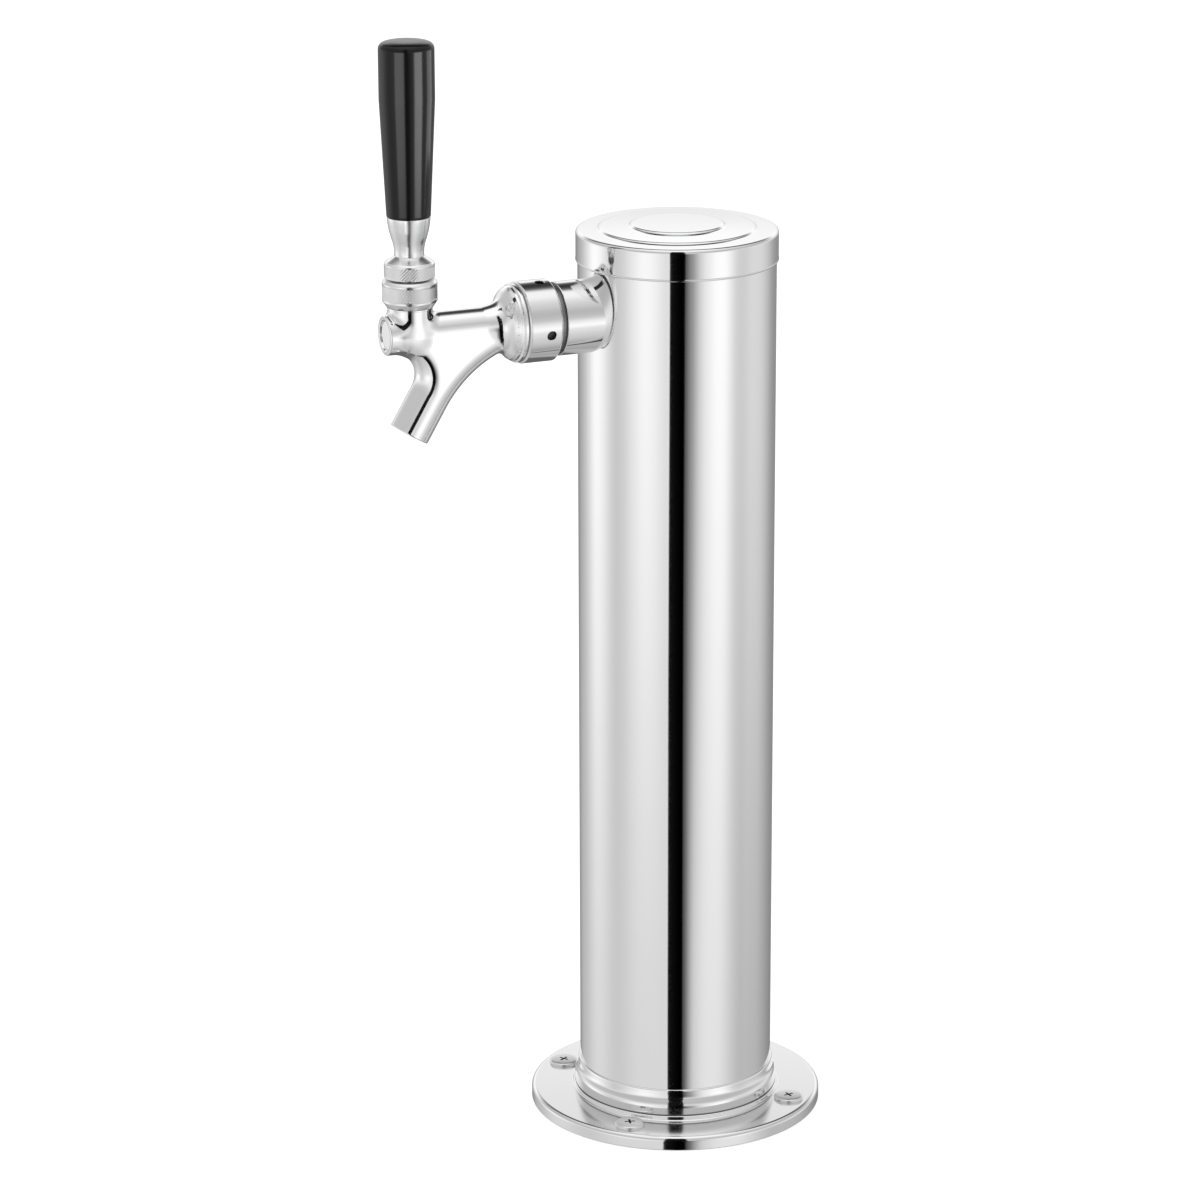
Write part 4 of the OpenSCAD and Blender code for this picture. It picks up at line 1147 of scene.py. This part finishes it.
        down, off_front = 0 - height, around.size()
        wall = ramp(LOW_WALL, around, -180, 360).towards(
            ramp(HIGH_WALL, around, -180, 360), height.ease(*LOW_TO_HIGH))
        wall = wall * ramp(FLOOR_FALL, height, -90, 90)
        wall = wall.towards(DIM_GREY, off_front.ease(*DIM_BEHIND) * down.ease(*DIM_BELOW))
        dome = ramp(FRONT_DOME, height, 0, 90).towards(
            ramp(REAR_DOME, height, 0, 90), off_front.ease(*FRONT_TO_REAR))
        pattern = wall.towards(dome, height.ease(*WALL_TO_DOME))
        open_wall = (around + 0.5 - 1.2 * height.ease(*SLIT_BEND)).size().ease(*SLIT_EDGE)
        open_wall = open_wall.larger(height.ease(*SLIT_TOP)).larger(down.ease(*SLIT_FOOT))
        pattern = pattern * (open_wall * (1 - SLIT_GREY) + SLIT_GREY)
        camera, mirror = tree.rays()
        glow = s.ambient + (pattern - s.ambient) * mirror
        glow = glow.towards(1.0, camera)
        background = tree.add("ShaderNodeBackground", inputs={
            "Color": (1, 1, 1, 1), "Strength": glow})
        tree.add("ShaderNodeOutputWorld", inputs={"Surface": background})


# Soft boxes for single pieces: name, piece, spot in mm, bearing and height in degrees, distance,
# width and height in metres, brightness.
ON_HANDLE, ON_TAP = (0, -NECK_F, 402), (0, -92, 322)
SOFT_BOXES = [
    ("strip_left", "handle_gloss", ON_HANDLE, -26, -10, 0.8, 0.56, 0.28, 2.5),
    ("strip_right", "handle_gloss", ON_HANDLE, 52, -10, 0.8, 0.48, 0.28, 5.2),
    ("strip_far_right", "handle_gloss", ON_HANDLE, 110, -10, 0.8, 0.44, 0.28, 1.9),
    ("strip_ferrule", "ferrule_turned", (0, -NECK_F, 362), -9, -20, 0.8, 0.22, 0.5, 0.6),
    ("card", "tap_body_cast", ON_TAP, 60, -12, 0.8, 1.2, 1.2, 0.05),
    ("card_end", "shaft_turned", (0, -BOSS_FRONT_F, TAP_Z), -133, -13, 0.5, 0.4, 0.4, 0.3),
]

# The studio that the metal mirrors, as brightness by degrees. The walls go round from the
# camera with the right-hand side positive, the others go up from the floor's edge.
HIGH_WALL = [
    (-180, 0.3), (-162, 0.3), (-150, 0.42), (-140, 0.52), (-130, 0.67), (-120, 0.88),
    (-108, 1.09), (-92, 0.92), (-80, 0.69), (-70, 0.66), (-58, 0.8), (-45, 0.98), (-34, 1.04),
    (-22, 0.94), (-12, 0.82), (-7, 0.78), (5, 0.01), (8, 0.045), (13, 0.2), (20, 0.4), (25, 0.63),
    (31, 0.83), (40, 1.0), (50, 1.1), (60, 1.02), (70, 0.77), (80, 0.68), (98, 0.76), (118, 0.68),
    (135, 0.46), (150, 0.32), (180, 0.28)]
LOW_WALL = [
    (-180, 0.3), (-162, 0.35), (-150, 0.48), (-130, 0.6), (-106, 0.74), (-75, 0.64), (-50, 0.72),
    (-35, 0.74), (-12, 0.74), (-7, 0.72), (5, 0.0), (8, 0.04), (14, 0.28), (20, 0.62), (30, 0.79),
    (45, 0.84), (60, 0.76), (80, 0.55), (98, 0.52), (120, 0.46), (150, 0.3), (180, 0.26)]
FLOOR_FALL = [(-90, 0.6), (-65, 0.68), (-56, 0.74), (-46, 0.8), (-36, 0.87), (-25, 0.99),
              (-18, 1.0), (0, 1.0)]
FRONT_DOME = [(0, 0.82), (9, 0.64), (20, 0.54), (31, 0.54), (41, 0.63), (52, 0.73), (61, 0.85),
              (68, 1.0), (90, 1.04)]
REAR_DOME = [(0, 0.84), (9, 0.9), (13, 0.99), (19, 1.08), (24, 0.85), (30, 0.35), (37, 0.09),
             (56, 0.08), (62, 0.35), (68, 1.0), (90, 1.04)]

# Where one part of the studio eases into the next, in degrees round or up: the low wall into the
# high one, the wall into the dome, the dome's front into its rear, and the dim place that lies
# behind and below.
LOW_TO_HIGH, WALL_TO_DOME, FRONT_TO_REAR = (-24.0, -13.0), (-13.0, 6.0), (125.0, 152.0)
DIM_BEHIND, DIM_BELOW, DIM_GREY = (148.0, 168.0), (20.0, 32.0), 0.13

# The dark slit beside the camera that draws the tube's black line.
SLIT_EDGE, SLIT_BEND, SLIT_TOP, SLIT_FOOT = (8.2, 9.2), (-18.5, -12.5), (50.0, 64.0), (45.0, 60.0)
SLIT_GREY = 0.007


class TOWER_PT_panel(bpy.types.Panel):
    """Lists the pieces in the sidebar"""

    bl_label = "Beer tower"
    bl_space_type = "VIEW_3D"
    bl_region_type = "UI"
    bl_category = "Tower"

    def draw(self, context):
        for group in (context.scene.tower_sizes, context.scene.tower_colours,
                      context.scene.tower_stage):
            box = self.layout.box()
            for name in group.bl_rna.properties.keys():
                if name not in ("rna_type", "name"):
                    box.prop(group, name)
        for operator in OPERATORS:
            self.layout.operator(operator.bl_idname)


GROUPS = {"tower_sizes": TowerSizes, "tower_colours": TowerColours, "tower_stage": StageSettings}
OPERATORS = (TOWER_OT_column, TOWER_OT_cap, TOWER_OT_flange, TOWER_OT_screws, TOWER_OT_sleeve,
             TOWER_OT_coupling_nut, TOWER_OT_tap_body, TOWER_OT_bonnet, TOWER_OT_lever_collar,
             TOWER_OT_ferrule, TOWER_OT_handle, TOWER_OT_valve_shaft, TOWER_OT_inner_parts,
             TOWER_OT_stage)


def register():
    for cls in (*GROUPS.values(), *OPERATORS, TOWER_PT_panel):
        bpy.utils.register_class(cls)
    for name, cls in GROUPS.items():
        setattr(bpy.types.Scene, name, bpy.props.PointerProperty(type=cls))


def unregister():
    for name in GROUPS:
        delattr(bpy.types.Scene, name)
    for cls in reversed((*GROUPS.values(), *OPERATORS, TOWER_PT_panel)):
        bpy.utils.unregister_class(cls)


def main():
    register()
    for operator in OPERATORS:
        group, name = operator.bl_idname.split(".")
        getattr(getattr(bpy.ops, group), name)()


if __name__ == "__main__":
    main()
